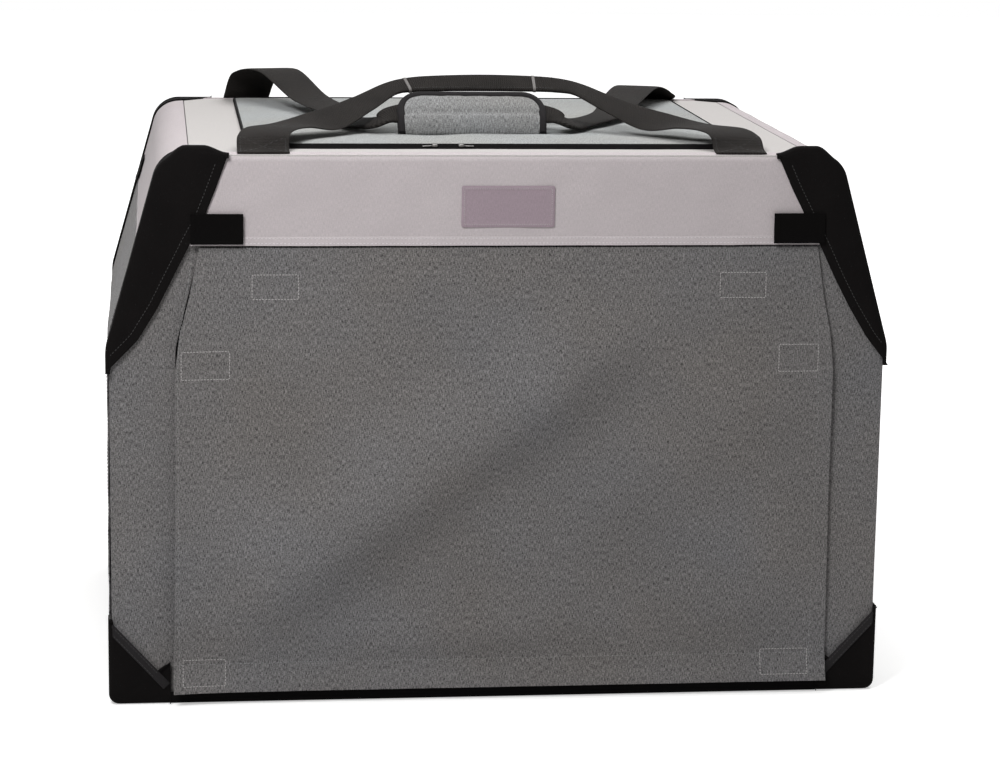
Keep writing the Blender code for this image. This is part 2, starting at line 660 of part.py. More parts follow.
# end walls, bent at the knee, their windows, bands, flaps and tabs
inside = DEPTH / 2 - layer(2) - CLOTH - LAP
for side, word in ((LEFT, "left"), (RIGHT, "right")):
    wall = end_sheet(f"{word}_wall", side, 2, 0.0120, inside, HEATHER,
                     stop_x=TOP_LAP_X - 0.015)
    xs = sorted((side * 0.30, side * 0.40))
    add(combine(wall, [box("window", (xs[0], -END_WINDOW_HALF, END_WINDOW_LOW),
                           (xs[1], END_WINDOW_HALF, END_WINDOW_TOP), HEATHER)], "DIFFERENCE"))
    add(end_sheet(f"{word}_window_mesh", side, 2, END_WINDOW_LOW + LAP,
                  END_WINDOW_HALF - LAP, NET, high=END_WINDOW_TOP - LAP))
    add(end_sheet(f"{word}_wall_band", side, 1, BAND_Z, inside, LIGHT, stop_x=TOP_LAP_X))
    add(end_sheet(f"{word}_flap", side, 1, FLAP_LOW_Z, END_FLAP_HALF, HEATHER, high=FLAP_TOP_Z))
    tab = end_sheet(f"{word}_wall_tab", side, 0, TAB_TOP_Z - TAB_H, TAB_W / 2, BLACK,
                    high=TAB_TOP_Z)
    tab.data.transform(Matrix.Translation((0, SIDE_TAB_Y, 0)))
    add(tab)

# top border and top door
top = (HEIGHT - layer(1) - CLOTH, HEIGHT - layer(1))
y_edge = DEPTH / 2 - layer(1) - CLOTH - LAP
door_y = (-DEPTH / 2 + TOP_DOOR_FRONT, DEPTH / 2 - TOP_DOOR_REAR)
ring_x = TOP_LAP_X - LAP


def top_opening(d, hinge):
    return fillet([(-DOOR_IN_TOP_HALF + d, door_y[0] + d), (DOOR_IN_TOP_HALF - d, door_y[0] + d),
                   (DOOR_IN_TOP_HALF - d, door_y[1] - hinge), (-DOOR_IN_TOP_HALF + d, door_y[1] - hinge)],
                  [0.03 - d, 0.03 - d, 0.004, 0.004], 4)


add(prism("top_border", [[(-ring_x, -y_edge), (ring_x, -y_edge), (ring_x, y_edge), (-ring_x, y_edge)],
                         top_opening(0, 0)], "Z", *top, LIGHT))
add(prism("top_door", [top_opening(2 * LAP, 2 * LAP)], "Z", *top, HEATHER))

# front: bare sewn patch and two roll-up tabs
add(prism("front_patch", [fillet([(PATCH_X - PATCH_W / 2, PATCH_Z - PATCH_H / 2),
                                  (PATCH_X + PATCH_W / 2, PATCH_Z - PATCH_H / 2),
                                  (PATCH_X + PATCH_W / 2, PATCH_Z + PATCH_H / 2),
                                  (PATCH_X - PATCH_W / 2, PATCH_Z + PATCH_H / 2)],
                                 [0.003] * 4, 2)], "Y",
          -DEPTH / 2 + layer(1) - LAP - 0.0008, -DEPTH / 2 + layer(1) - LAP, LIGHT))
tab_y = -DEPTH / 2 - LAP
for x, word in ((TAB_LEFT_X, "left"), (TAB_RIGHT_X, "right")):
    add(prism(f"rollup_tab_{word}", [fillet([(x - TAB_W / 2, TAB_TOP_Z - TAB_H),
                                             (x + TAB_W / 2, TAB_TOP_Z - TAB_H),
                                             (x + TAB_W / 2, TAB_TOP_Z), (x - TAB_W / 2, TAB_TOP_Z)],
                                            [0.002, 0.002, 0.001, 0.001], 3)],
              "Y", tab_y - CLOTH, tab_y, BLACK))

# side rails, elbows and lock buttons
for side, word in ((LEFT, "left"), (RIGHT, "right")):
    front_half = eye_bar(f"{word}_rail_front", side, (-LINK, 0.0), (), STEEL)
    xc = side * (RAIL_PIN_X - RAIL_OFFSET)
    well = rod("well", (xc, -BUTTON_Y, RAIL_Z - 0.02), (xc, -BUTTON_Y, RAIL_Z + 0.02),
               BUTTON_R + PIN_PLAY, STEEL)
    add(combine(front_half, [well], "DIFFERENCE"))
    add(eye_bar(f"{word}_rail_rear", side, (0.0, LINK), (0.0,), STEEL))
    add(rod(f"{word}_lock_button", (xc, -BUTTON_Y, RAIL_Z - 0.003),
            (xc, -BUTTON_Y, RAIL_Z + BUTTON_TOP), BUTTON_R, ZINC))
    x = side * RAIL_PIN_X
    reach = TONGUE / 2 + LAP + FORK + LAP
    pin = rod(f"{word}_elbow_pin", (x, 0, RAIL_Z - reach - HEAD_T),
              (x, 0, RAIL_Z + reach + HEAD_T), PIN_R, ZINC)
    heads = [rod("head", (x, 0, RAIL_Z + s * reach), (x, 0, RAIL_Z + s * (reach + HEAD_T)),
                 HEAD_R, ZINC) for s in (-1, 1)]
    add(combine(pin, heads, "UNION"))

# floor
add(floor_board("floor_board_front", True))
add(floor_board("floor_board_rear", False))
add(rod("floor_hinge_rod", (-FLOOR_HALF + 0.004, 0, FLOOR_AXIS_Z),
        (FLOOR_HALF - 0.004, 0, FLOOR_AXIS_Z), ROD_R, ZINC, 12))

# webbing straps and the padded grip
on_top = HEIGHT - layer(1) + LAP + WEBBING_T / 2
flat, up = WEBBING_T, 2 * WEBBING_T
X1 = (1.0, 0.0, 0.0)


def station(x, y, z, w, width, thick):
    return (x, y, z, *w, width, thick)


def mirrored(half):
    """Stations from the left end to the middle, then back out to the right."""
    back = [(-s[0], s[1], s[2], -s[3], *s[4:]) for s in half[:-1]][::-1]
    return half + back


front_half = [
    station(-STRAP_X, -DEPTH / 2 + 0.0055, on_top, X1, WEBBING_W, flat),
    station(-STRAP_X, -DEPTH / 2 + 0.020, on_top + 0.0022, X1, WEBBING_W, flat),
    station(-STRAP_X + 0.002, -DEPTH / 2 + 0.0400, HEIGHT + 0.0125, (1.0, -0.05, 0.0), WEBBING_W, flat),
    station(-STRAP_X + 0.020, -DEPTH / 2 + 0.0850, HEIGHT + 0.0145, (0.75, -0.60, -0.10), 0.048, flat),
    station(-STRAP_X + 0.062, -DEPTH / 2 + 0.1440, HEIGHT + 0.0220, (0.40, -0.90, -0.04), 0.037, flat),
    station(-STRAP_X + 0.124, -DEPTH / 2 + 0.1965, HEIGHT + 0.0420, (0.10, -0.94, -0.22), 0.028, flat),
    station(-STRAP_X + 0.165, -DEPTH / 2 + 0.1945, HEIGHT + 0.0470, (0.0, -0.86, -0.50), GRIP_W, up),
    station(0.0, -DEPTH / 2 + 0.1965, HEIGHT + 0.0485, (0.0, -0.84, -0.54), GRIP_W, up),
]
add(ribbon("front_strap", mirrored(front_half), WEBBING))

tilt = math.radians(PAD_TILT)
along = (0.0, math.cos(tilt), math.sin(tilt))


def rear_half(side, hump):
    s = -side
    grip = (0.0, along[1], along[2])
    return [
        station(side * STRAP_X, DEPTH / 2 - 0.0055, on_top, (s, 0, 0), WEBBING_W, flat),
        station(side * STRAP_X, DEPTH / 2 - 0.018, on_top + 0.0036, (s, 0, 0), WEBBING_W, flat),
        station(side * (STRAP_X - 0.002), DEPTH / 2 - 0.0445, HEIGHT + 0.6 * hump, (s, 0, 0), WEBBING_W, flat),
        station(side * (STRAP_X - 0.015), DEPTH / 2 - 0.0965, HEIGHT + hump, (0.93 * s, 0.35, 0.0), 0.048, flat),
        station(side * (STRAP_X - 0.050), DEPTH / 2 - 0.1815, HEIGHT + 0.0170, (0.80 * s, 0.60, 0.05), 0.044, flat),
        station(side * (STRAP_X - 0.095), PAD_Y + 0.106, HEIGHT + 0.0130, (0.60 * s, 0.75, 0.20), 0.036, flat),
        station(side * 0.116 + PAD_X, PAD_Y + 0.029, HEIGHT + 0.0135, (0.15 * s, *along[1:]), GRIP_W, up),
        station(side * (PAD_L / 2 + 0.020) + PAD_X, PAD_Y, PAD_Z, grip, GRIP_W, up),
        station(side * (PAD_L / 2 + 0.006) + PAD_X, PAD_Y, PAD_Z, grip, GRIP_W, up),
        station(side * (PAD_L / 2 - 0.030) + PAD_X, PAD_Y, PAD_Z, grip, GRIP_W, up),
    ]


path = rear_half(LEFT, 0.034) + rear_half(RIGHT, 0.022)[::-1]
add(ribbon("rear_strap", path, WEBBING))


def round_rect(w, h, r, steps):
    return fillet([(-w / 2, -h / 2), (w / 2, -h / 2), (w / 2, h / 2), (-w / 2, h / 2)], [r] * 4, steps)


pad = prism("grip_pad", [round_rect(PAD_H, PAD_T, PAD_T * 0.45, 4),
                         round_rect(GRIP_W + 2 * LAP, up + 2 * LAP, 0.001, 2)],
            "X", -PAD_L / 2, PAD_L / 2, HEATHER)
pad.data.transform(Matrix.Translation((PAD_X, PAD_Y, PAD_Z)) @ Matrix.Rotation(tilt, 4, "X"))
add(pad)

# -------------------------------------------- bodies: an empty on each pivot
tab_mid = tab_y - CLOTH / 2
flap_mid = DEPTH / 2 - layer(1) - CLOTH / 2
side_flap_x = lean_x(FLAP_TOP_Z, layer(1) + CLOTH / 2)
side_tab_x = lean_x(TAB_TOP_Z, CLOTH / 2)
panel_mid = -DEPTH / 2 + layer(2) + CLOTH / 2
top_mid = (top[0] + top[1]) / 2
rail_button = RAIL_PIN_X - RAIL_OFFSET
BODIES = {
    "front_frame": (None, (0, 0, 0), [
        "front_frame_tube", "front_skin", "front_band", "front_patch",
        "front_corner_cover_left", "front_corner_cover_right", "front_base_corner_left",
        "front_base_corner_right", "front_base_binding", "front_door_zip",
        "front_rail_bracket_left", "front_rail_bracket_right", "front_floor_clip_left",
        "front_floor_clip_right", "left_wall", "right_wall", "left_wall_band",
        "right_wall_band", "left_window_mesh", "right_window_mesh", "top_border"]),
    "left_rail_front_half": ("front_frame", (-RAIL_PIN_X, -LINK, RAIL_Z),
                             ["left_rail_front", "left_elbow_pin"]),
    "left_rail_rear_half": ("left_rail_front_half", (-RAIL_PIN_X, 0, RAIL_Z), ["left_rail_rear"]),
    "rear_frame": ("left_rail_rear_half", (-RAIL_PIN_X, LINK, RAIL_Z), [
        "rear_frame_tube", "rear_skin", "rear_band", "rear_corner_cover_left",
        "rear_corner_cover_right", "rear_base_corner_left", "rear_base_corner_right",
        "rear_base_binding", "rear_window_mesh", "rear_rail_bracket_left",
        "rear_rail_bracket_right", "rear_floor_clip_left", "rear_floor_clip_right"]),
    "right_rail_front_half": ("front_frame", (RAIL_PIN_X, -LINK, RAIL_Z),
                              ["right_rail_front", "right_elbow_pin"]),
    "right_rail_rear_half": ("right_rail_front_half", (RAIL_PIN_X, 0, RAIL_Z), ["right_rail_rear"]),
    "floor_front_leaf": ("front_frame", (0, -LINK, FLOOR_AXIS_Z),
                         ["floor_board_front", "floor_hinge_rod"]),
    "floor_rear_leaf": ("floor_front_leaf", (0, 0, FLOOR_AXIS_Z), ["floor_board_rear"]),
    "front_flap_body": ("front_frame", (0, -flap_mid, FLAP_TOP_Z + LAP), ["front_flap"]),
    "front_door": ("front_frame", (0, panel_mid, DOOR_TOP_Z), ["front_door_mesh", "front_door_binding"]),
    "zip_pull": ("front_frame", (pull_x, inner + 0.001, 0.1), ["front_zip_pull"]),
    "rear_flap_body": ("rear_frame", (0, flap_mid, FLAP_TOP_Z + LAP), ["rear_flap"]),
    "left_flap_body": ("front_frame", (-side_flap_x, 0, FLAP_TOP_Z + LAP), ["left_flap"]),
    "right_flap_body": ("front_frame", (side_flap_x, 0, FLAP_TOP_Z + LAP), ["right_flap"]),
    "rollup_tab_left_body": ("front_frame", (TAB_LEFT_X, tab_mid, TAB_TOP_Z), ["rollup_tab_left"]),
    "rollup_tab_right_body": ("front_frame", (TAB_RIGHT_X, tab_mid, TAB_TOP_Z), ["rollup_tab_right"]),
    "left_wall_tab_body": ("front_frame", (-side_tab_x, SIDE_TAB_Y, TAB_TOP_Z), ["left_wall_tab"]),
    "right_wall_tab_body": ("front_frame", (side_tab_x, SIDE_TAB_Y, TAB_TOP_Z), ["right_wall_tab"]),
    "top_door_body": ("rear_frame", (0, door_y[1] - LAP, top_mid), ["top_door"]),
    "front_handle": ("front_frame", (0, -DEPTH / 2 + 0.0015, HEIGHT - layer(1) + LAP), ["front_strap"]),
    "rear_handle": ("rear_frame", (0, DEPTH / 2 - 0.0015, HEIGHT - layer(1) + LAP),
                    ["rear_strap", "grip_pad"]),
    "left_lock": ("left_rail_front_half", (-rail_button, -BUTTON_Y, RAIL_Z), ["left_lock_button"]),
    "right_lock": ("right_rail_front_half", (rail_button, -BUTTON_Y, RAIL_Z), ["right_lock_button"]),
}
pivots = {}
for body, (parent, at, names) in BODIES.items():
    empty = bpy.data.objects.new(body, None)
    crate.objects.link(empty)
    pivots[body] = empty
    if parent:
        empty.parent = pivots[parent]
        empty.location = Vector(at) - Vector(BODIES[parent][1])
    else:
        empty.location = at
    for name in names:
        part[name].data.transform(Matrix.Translation(-Vector(at)))
        part[name].parent = empty

for name, value in (("rail z", RAIL_Z), ("tube y", TUBE_Y), ("side flap x", side_flap_x),
                    ("side tab x", side_tab_x), ("flap y", flap_mid), ("panel y", panel_mid),
                    ("top door y", door_y[1] - LAP), ("top z", top_mid)):
    print(f"{name} {value * 1000:.2f} mm")
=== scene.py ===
# %% [markdown]
# # A folding cloth dog crate
# Two steel hoops hold a cloth shell that is a box below and leans in above the knee. This lesson dresses the
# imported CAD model: every cloth part is remade as a thin sewn sheet, and the steel and plastic keep their CAD
# shape and get a finish. All lengths are metres. X runs along the front, Y from front to rear, Z up.

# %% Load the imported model
import itertools
import math
import bpy
import numpy as np
from mathutils import Matrix


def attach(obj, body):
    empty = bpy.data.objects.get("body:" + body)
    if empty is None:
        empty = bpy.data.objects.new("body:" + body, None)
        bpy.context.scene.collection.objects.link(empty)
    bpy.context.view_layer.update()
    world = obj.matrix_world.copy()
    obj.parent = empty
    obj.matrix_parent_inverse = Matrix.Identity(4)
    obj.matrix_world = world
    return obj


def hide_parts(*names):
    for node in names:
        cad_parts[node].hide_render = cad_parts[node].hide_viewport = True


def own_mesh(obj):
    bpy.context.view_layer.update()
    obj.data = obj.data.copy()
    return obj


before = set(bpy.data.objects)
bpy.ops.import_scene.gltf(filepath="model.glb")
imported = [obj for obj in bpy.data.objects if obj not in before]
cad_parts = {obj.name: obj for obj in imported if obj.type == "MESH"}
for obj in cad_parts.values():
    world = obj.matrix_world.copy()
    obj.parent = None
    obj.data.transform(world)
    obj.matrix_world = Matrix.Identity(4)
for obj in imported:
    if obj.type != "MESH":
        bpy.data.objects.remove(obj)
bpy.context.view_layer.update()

# %% [markdown]
# ## Camera
# The photograph was taken with a long lens, a little to the left of the middle and a little above the lid, so the
# front is nearly square on and a sliver of the left end shows. The numbers come from matching corners of the
# crate in the photograph. Roll, pitch and yaw are put together as a frame of three axes.

# %% Camera
SENSOR_MM, PICTURE_PX, FOCAL_PX = 36.0, 1000.0, 2915.8
YAW, PITCH, ROLL = 0.1196, 0.1984, 0.0155
EYE = (-0.3324, -3.0162, 0.8713)


def look(yaw, pitch, roll):
    """Camera axes: ahead = (sin yaw cos pitch, cos yaw cos pitch, -sin pitch), right is level, roll turns both."""
    ahead = np.array([math.sin(yaw) * math.cos(pitch), math.cos(yaw) * math.cos(pitch), -math.sin(pitch)])
    right = np.array([math.cos(yaw), -math.sin(yaw), 0.0])
    up = np.cross(right, ahead)
    c, s = math.cos(roll), math.sin(roll)
    return np.stack([c * right + s * up, c * up - s * right, -ahead], axis=1)


def pose(axes, at):
    """A world matrix from three axes, as columns, and a place."""
    m = np.eye(4)
    m[:3, :3], m[:3, 3] = axes, at
    return Matrix(m.tolist())


cam = bpy.data.objects.new("camera", bpy.data.cameras.new("camera"))
bpy.context.scene.collection.objects.link(cam)
cam.data.sensor_width, cam.data.lens = SENSOR_MM, SENSOR_MM * FOCAL_PX / PICTURE_PX
cam.data.clip_start, cam.data.clip_end = 0.1, 50.0
cam.matrix_world = pose(look(YAW, PITCH, ROLL), EYE)
bpy.context.scene.camera = cam
print("lens", round(cam.data.lens, 1), "mm")

# %% [markdown]
# ## Node helpers
# A finish is a small graph of nodes. One short method for each kind of node keeps the graphs readable: it makes a
# node, sets its plain values and links the rest.

# %% Node helpers
class Nodes:
    """The node tree of a material or world. Each method adds a node and returns its output socket."""

    def __init__(self, owner):
        owner.use_nodes = True
        self.owner, self.tree = owner, owner.node_tree
        self.tree.nodes.clear()

    def add(self, kind, out=0, settings=(), **inputs):
        """Inputs go by name, with _ for a blank, or by number, as i0. A socket is linked and a value is set."""
        n = self.tree.nodes.new("ShaderNode" + kind)
        for key, value in dict(settings).items():
            setattr(n, key, value)
        for key, value in inputs.items():
            socket = n.inputs[int(key[1:]) if key[1:].isdigit() else key.replace("_", " ")]
            if isinstance(value, bpy.types.NodeSocket):
                self.tree.links.new(value, socket)
            else:
                socket.default_value = value
        return n.outputs[out] if n.outputs else None

    def math(self, op, a, b=0.5):
        return self.add("Math", 0, {"operation": op}, i0=a, i1=b)

    def mix(self, factor, a, b):
        """a * (1 - factor) + b * factor, on colours."""
        return self.add("Mix", 2, {"data_type": "RGBA"}, i0=factor, i6=a, i7=b)

    def ramp(self, value, low, high, to_low=0.0, to_high=1.0):
        return self.add("MapRange", 0, {"clamp": True}, Value=value, From_Min=low, From_Max=high,
                        To_Min=to_low, To_Max=to_high)

    def noise(self, at, scale, detail, rough=0.5, bend=0.0):
        """A scale of two numbers stretches the noise along the UV directions."""
        if isinstance(scale, tuple):
            at, scale = self.add("Mapping", i0=at, Scale=(*scale, 1)), 1.0
        return self.add("TexNoise", Vector=at, Scale=scale, Detail=detail, Roughness=rough, Distortion=bend)

    def uv(self):
        """The cloth UV map and its two coordinates, in metres."""
        uv = self.add("UVMap", 0, {"uv_map": "cloth"})
        parts = self.add("SeparateXYZ", Vector=uv)
        return uv, parts, parts.node.outputs[1]

    def finish(self, colour, rough, bump, distance, strength, **values):
        """Ends a material: a Principled shader with a bump height. Returns the material."""
        normal = self.add("Bump", Strength=strength, Distance=distance, Height=bump)
        shader = self.add("BsdfPrincipled", Base_Color=colour, Roughness=rough, Normal=normal, **values)
        self.add("OutputMaterial", i0=shader)
        return self.owner


def graph(name):
    return Nodes(bpy.data.materials.new(name))


def times(colour, k=1.0):
    """A colour with its channels multiplied by k, or by three numbers, and alpha 1."""
    return (*(float(c) for c in np.multiply(colour, k)), 1)


# %% [markdown]
# ## Heather cloth
# The panels are a polyester oxford woven from dark and pale threads, so each pixel of the photograph is a mix of
# short streaks along warp and weft. Every cloth piece carries a UV map laid out in metres, and the graph reads it:
# two noises stretched along the two thread directions are added, and a finer sine grid raises the weave.

# %% Woven cloth finishes
def weave(g, pitch, streak, thread):
    """Returns (warp + weft streaks, weave height, UV): noise stretched by streak along each thread direction."""
    uv, along, across = g.uv()
    warp = g.noise(uv, (1 / thread, 1 / streak), 2.0, 0.65, 0.12)
    weft = g.noise(uv, (1.7 / streak, 0.85 / thread), 2.0, 0.65, 0.12)
    both = g.math("ADD", g.math("MULTIPLY", warp, 0.62), g.math("MULTIPLY", weft, 0.38))
    waves = [g.math("SINE", g.math("MULTIPLY", s, 2 * math.pi / pitch)) for s in (along, across)]
    return both, g.math("MULTIPLY", *waves), uv


def heather(name, dark, pale, tint):
    """Colour = dark to pale by the streaks, times slow blotches, warm to cool; height = weave + streaks."""
    g = graph(name)
    streaks, weft_grid, uv = weave(g, 0.0011, 0.0040, 0.00050)
    slub = g.ramp(g.noise(uv, (900, 60), 1.0), 0.6, 0.85, 0.0, 0.35)
    tone = g.math("ADD", g.ramp(streaks, 0.37, 0.63), slub)
    warm, cool = (1.025, 0.995, 0.965), (0.985, 1.0, 1.03)
    hues = [g.mix(tone, times(tint, np.multiply(cast, dark)), times(tint, np.multiply(cast, pale)))
            for cast in (warm, cool)]
    colour = g.mix(g.ramp(g.noise(uv, 5.0, 3.0), 0.35, 0.65), *hues)
    slow = g.ramp(g.noise(uv, 9.0, 4.0, 0.6), 0.3, 0.7, 0.93, 1.06)
    height = g.math("ADD", g.math("MULTIPLY", weft_grid, 0.35), streaks)
    return g.finish(g.add("HueSaturation", Color=colour, Value=slow), 0.92, height, 0.00035, 0.55,
                    Sheen_Weight=0.12, Sheen_Roughness=0.6, Specular_IOR_Level=0.25)


HEATHER = heather("heather_cloth", 0.006, 0.256, (1.0, 0.965, 0.965))
HEATHER_TOP = heather("heather_cloth_top", 0.09, 0.52, (0.97, 1.0, 0.985))
HEATHER_PAD = heather("heather_cloth_pad", 0.06, 0.36, (0.985, 1.0, 1.0))
print("heather finishes:", HEATHER.name, HEATHER_TOP.name, HEATHER_PAD.name)

# %% [markdown]
# The bands and the top border are a smooth coated cloth, pale grey with a pink cast: a fine weave that shows as
# bump and as faint dark threads, with slow blotches. The black parts are the same oxford in black, with a little
# pale lint. They hardly shine, or the white surroundings would turn them grey.

# %% Pale and black cloth
def plain_cloth(name, colour, mottle, rough, pitch, depth, sheen, lint=0.0, shine=0.3):
    """Colour varies by slow noise of size mottle; height is a fine sine weave plus noise; lint adds pale flecks."""
    g = graph(name)
    streaks, weft_grid, uv = weave(g, pitch, 0.004, 0.0006)
    slow = g.noise(uv, 14.0, 5.0, 0.62)
    shade = g.mix(g.ramp(slow, 0.32, 0.68), times(colour, 1 - mottle), times(colour, 1 + mottle))
    shade = g.mix(g.ramp(streaks, 0.36, 0.64), shade, times(colour, 0.80))
    if lint:
        shade = g.mix(g.ramp(g.noise(uv, (420, 420), 1.0), 0.68, 0.80, 0.0, lint), shade, (0.16, 0.16, 0.17, 1))
    height = g.math("ADD", g.math("MULTIPLY", weft_grid, 0.5), g.math("MULTIPLY", streaks, 0.8))
    return g.finish(shade, g.ramp(slow, 0.3, 0.7, rough - 0.05, rough + 0.05), height, depth, 0.5,
                    Sheen_Weight=sheen, Sheen_Roughness=0.45, Specular_IOR_Level=shine)


PALE = plain_cloth("pale_cloth", (0.505, 0.458, 0.471), 0.05, 0.78, 0.0009, 0.0002, 0.1)
PALE_TOP = plain_cloth("pale_cloth_top", (0.520, 0.498, 0.487), 0.03, 0.78, 0.0009, 0.0002, 0.1)
LABEL = plain_cloth("bare_label_cloth", (0.325, 0.257, 0.294), 0.04, 0.7, 0.0007, 0.0002, 0.1)
BLACK = plain_cloth("black_cloth", (0.0070, 0.0062, 0.0062), 0.3, 0.85, 0.0012, 0.0004, 0.01, 0.05, 0.03)
BINDING = plain_cloth("black_binding", (0.0055, 0.0050, 0.0052), 0.25, 0.8, 0.0010, 0.0003, 0.01, 0.03, 0.03)
TRIM = plain_cloth("trim_tape", (0.019, 0.0175, 0.0185), 0.2, 0.75, 0.0008, 0.0003, 0.02, 0.0, 0.08)
LOOP = plain_cloth("loop_tape", (0.0032, 0.0028, 0.0028), 0.3, 0.95, 0.0010, 0.0004, 0.0, 0.0, 0.05)
print("plain finishes:", PALE.name, PALE_TOP.name, LABEL.name, BLACK.name, BINDING.name, TRIM.name, LOOP.name)

# %% [markdown]
# ## Webbing, net and thread
# Webbing shows fine ribs across it and small pale specks. The window net is a square mesh with open holes, so its
# alpha is a grid. Thread is a matt dot of colour.

# %% Webbing, net and thread finishes
def webbing(name, colour):
    """Height = chevron ribs: sine of (length / 2.1 mm + triangle wave across). Colour lifts on the rib crests, a
    painted highlight.
    """
    g = graph(name)
    uv, along, across = g.uv()
    zigzag = g.math("MULTIPLY", g.math("PINGPONG", across, 0.00155), 2 * math.pi / 0.0031)
    rib = g.math("SINE", g.math("ADD", g.math("MULTIPLY", along, 2 * math.pi / 0.0021), zigzag))
    slow = g.noise(uv, 30.0, 4.0, 0.7)
    # The rib term paints a highlight on the crests; the slow noise and the fine specks are the webbing's own tone.
    tone = g.math("ADD", g.math("MULTIPLY", rib, 0.25), g.math("ADD", slow, g.noise(uv, 700.0, 2.0)))
    shade = g.mix(g.ramp(tone, 0.55, 1.45), times(colour, 0.35), times(colour, 1.7))
    return g.finish(shade, g.ramp(slow, 0.3, 0.7, 0.55, 0.68), rib, 0.0004, 0.6, Specular_IOR_Level=0.03)


def net(name, colour, pitch):
    """Alpha is 1 on the threads: where one wrapped UV distance is under a sixth of the pitch."""
    g = graph(name)
    uv, along, across = g.uv()
    hole = g.math("MINIMUM", *(g.math("PINGPONG", s, pitch / 2) for s in (along, across)))
    alpha = g.math("LESS_THAN", hole, pitch * 0.16)
    shade = g.mix(g.noise(uv, 400.0, 2.0), times(colour, 0.6), times(colour, 1.5))
    return g.finish(shade, 0.6, g.math("MULTIPLY", hole, -900.0), 0.0003, 0.5, Alpha=alpha)


def thread(name, colour):
    g = graph(name)
    twist = g.noise(g.add("TexCoord", 3), 1500.0, 1.0)
    shade = g.mix(twist, times(colour, 0.75), times(colour, 1.2))
    return g.finish(shade, 0.6, twist, 0.0001, 0.5, Sheen_Weight=0.1)


WEBBING = webbing("webbing", (0.0190, 0.0172, 0.0162))
NET = net("window_net", (0.02, 0.02, 0.021), 0.0016)
GREY_THREAD = thread("grey_thread", (0.38, 0.365, 0.36))
PALE_THREAD = thread("pale_thread", (0.62, 0.60, 0.61))
BLACK_THREAD = thread("black_thread", (0.007, 0.0065, 0.0065))
TACK_THREAD = thread("tack_thread", (0.085, 0.078, 0.074))
print("finishes:", WEBBING.name, NET.name, GREY_THREAD.name, PALE_THREAD.name, BLACK_THREAD.name)

# %% [markdown]
# ## Steel and plastic
# The hoops and side rails are tube with a black powder coat, which has a fine orange peel and is rubbed brighter in
# slow patches. The pins are bright zinc. The floor leaves and clips are moulded black plastic with a fine spark-eroded
# grain.

# %% Steel and plastic finishes
def hard(name, colour, other, grain, metal, rough, depth):
    """Colour and roughness follow two noises, a slow one for wear and a fast one, scale grain, for the grain."""
    g = graph(name)
    at = g.add("TexCoord", 3)
    slow, fast = g.noise(at, 25.0, 6.0, 0.7), g.noise(at, grain, 3.0, 0.6)
    shade = g.mix(g.ramp(slow, 0.55, 0.75), times(colour), times(other))
    shade = g.mix(g.ramp(fast, 0.3, 0.7, 0.0, 0.25), shade, times(colour, 0.6))
    return g.finish(shade, g.ramp(slow, 0.3, 0.7, rough - 0.08, rough + 0.1), fast, depth, 0.5, Metallic=metal)


STEEL = hard("painted_steel", (0.028, 0.028, 0.031), (0.045, 0.045, 0.048), 1400.0, 0.0, 0.42, 0.0002)
ZINC = hard("zinc_steel", (0.60, 0.60, 0.58), (0.45, 0.45, 0.44), 900.0, 1.0, 0.34, 0.0001)
GUNMETAL = hard("dark_nickel", (0.16, 0.155, 0.15), (0.12, 0.12, 0.12), 900.0, 1.0, 0.38, 0.0001)
PLASTIC = hard("black_plastic", (0.022, 0.022, 0.024), (0.03, 0.03, 0.032), 1800.0, 0.0, 0.5, 0.00025)
COVERED = {"painted_steel": STEEL, "zinc_steel": ZINC, "black_plastic": PLASTIC}
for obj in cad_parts.values():
    for slot in obj.material_slots:
        base = slot.material.name.split(".")[0] if slot.material else ""
        slot.material = COVERED.get(base, slot.material)
print("finished", sum(s.material in COVERED.values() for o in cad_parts.values() for s in o.material_slots),
      "CAD nodes")

# %% [markdown]
# ## Sheets from arrays
# A sewn sheet is a grid of points. The helper gives it thickness by stepping back along the surface normal, closes
# its four edges, and stores a UV map in metres. A closed ring skips the two edges that meet.

# %% Surface helpers
def unit(v):
    return v / np.linalg.norm(v, axis=-1, keepdims=True)


def run_of(path):
    """Distance along a polyline to each of its points."""
    return np.concatenate([[0], np.cumsum(np.linalg.norm(np.diff(path, axis=0), axis=1))])


def grid(a, b):
    return np.meshgrid(a, b, indexing="ij")


def at_run(at, run, columns):
    """Columns of numbers known at the distances run, read off at the distances at."""
    return np.stack([np.interp(at, run, c) for c in np.transpose(columns)], -1)


def normals(P, wrap):
    """Unit normals of a grid: the cross product of its two difference vectors."""
    du = np.roll(P, -1, 0) - np.roll(P, 1, 0) if wrap else np.gradient(P, axis=0)
    n = np.cross(du, np.gradient(P, axis=1))
    return n / np.maximum(np.linalg.norm(n, axis=2, keepdims=True), 1e-12)


def quads(nu, nv, wrap=False, tube=False):
    """Index quads of a grid, anticlockwise seen from its normal. wrap closes it along u, and tube along v."""
    i, j = grid(np.arange(nu if wrap else nu - 1), np.arange(nv if tube else nv - 1))
    a, b, k = i * nv, (i + 1) % nu * nv, (j + 1) % nv
    return np.stack([a + j, b + j, b + k, a + k], -1).reshape(-1, 4)


def rims(nu, nv, wrap):
    """Quads that join the outer grid to the inner one along its open edges."""
    n = nu * nv
    i = np.arange(nu if wrap else nu - 1)
    a, b = i * nv, (i + 1) % nu * nv
    out = [(a, a + n, b + n, b), (a + nv - 1, b + nv - 1, b + nv - 1 + n, a + nv - 1 + n)]
    if not wrap:
        j = np.arange(nv - 1)
        e = (nu - 1) * nv + j
        out += [(j, j + 1, j + 1 + n, j + n), (e, e + n, e + 1 + n, e + 1)]
    return np.concatenate([np.stack(q, 1) for q in out])


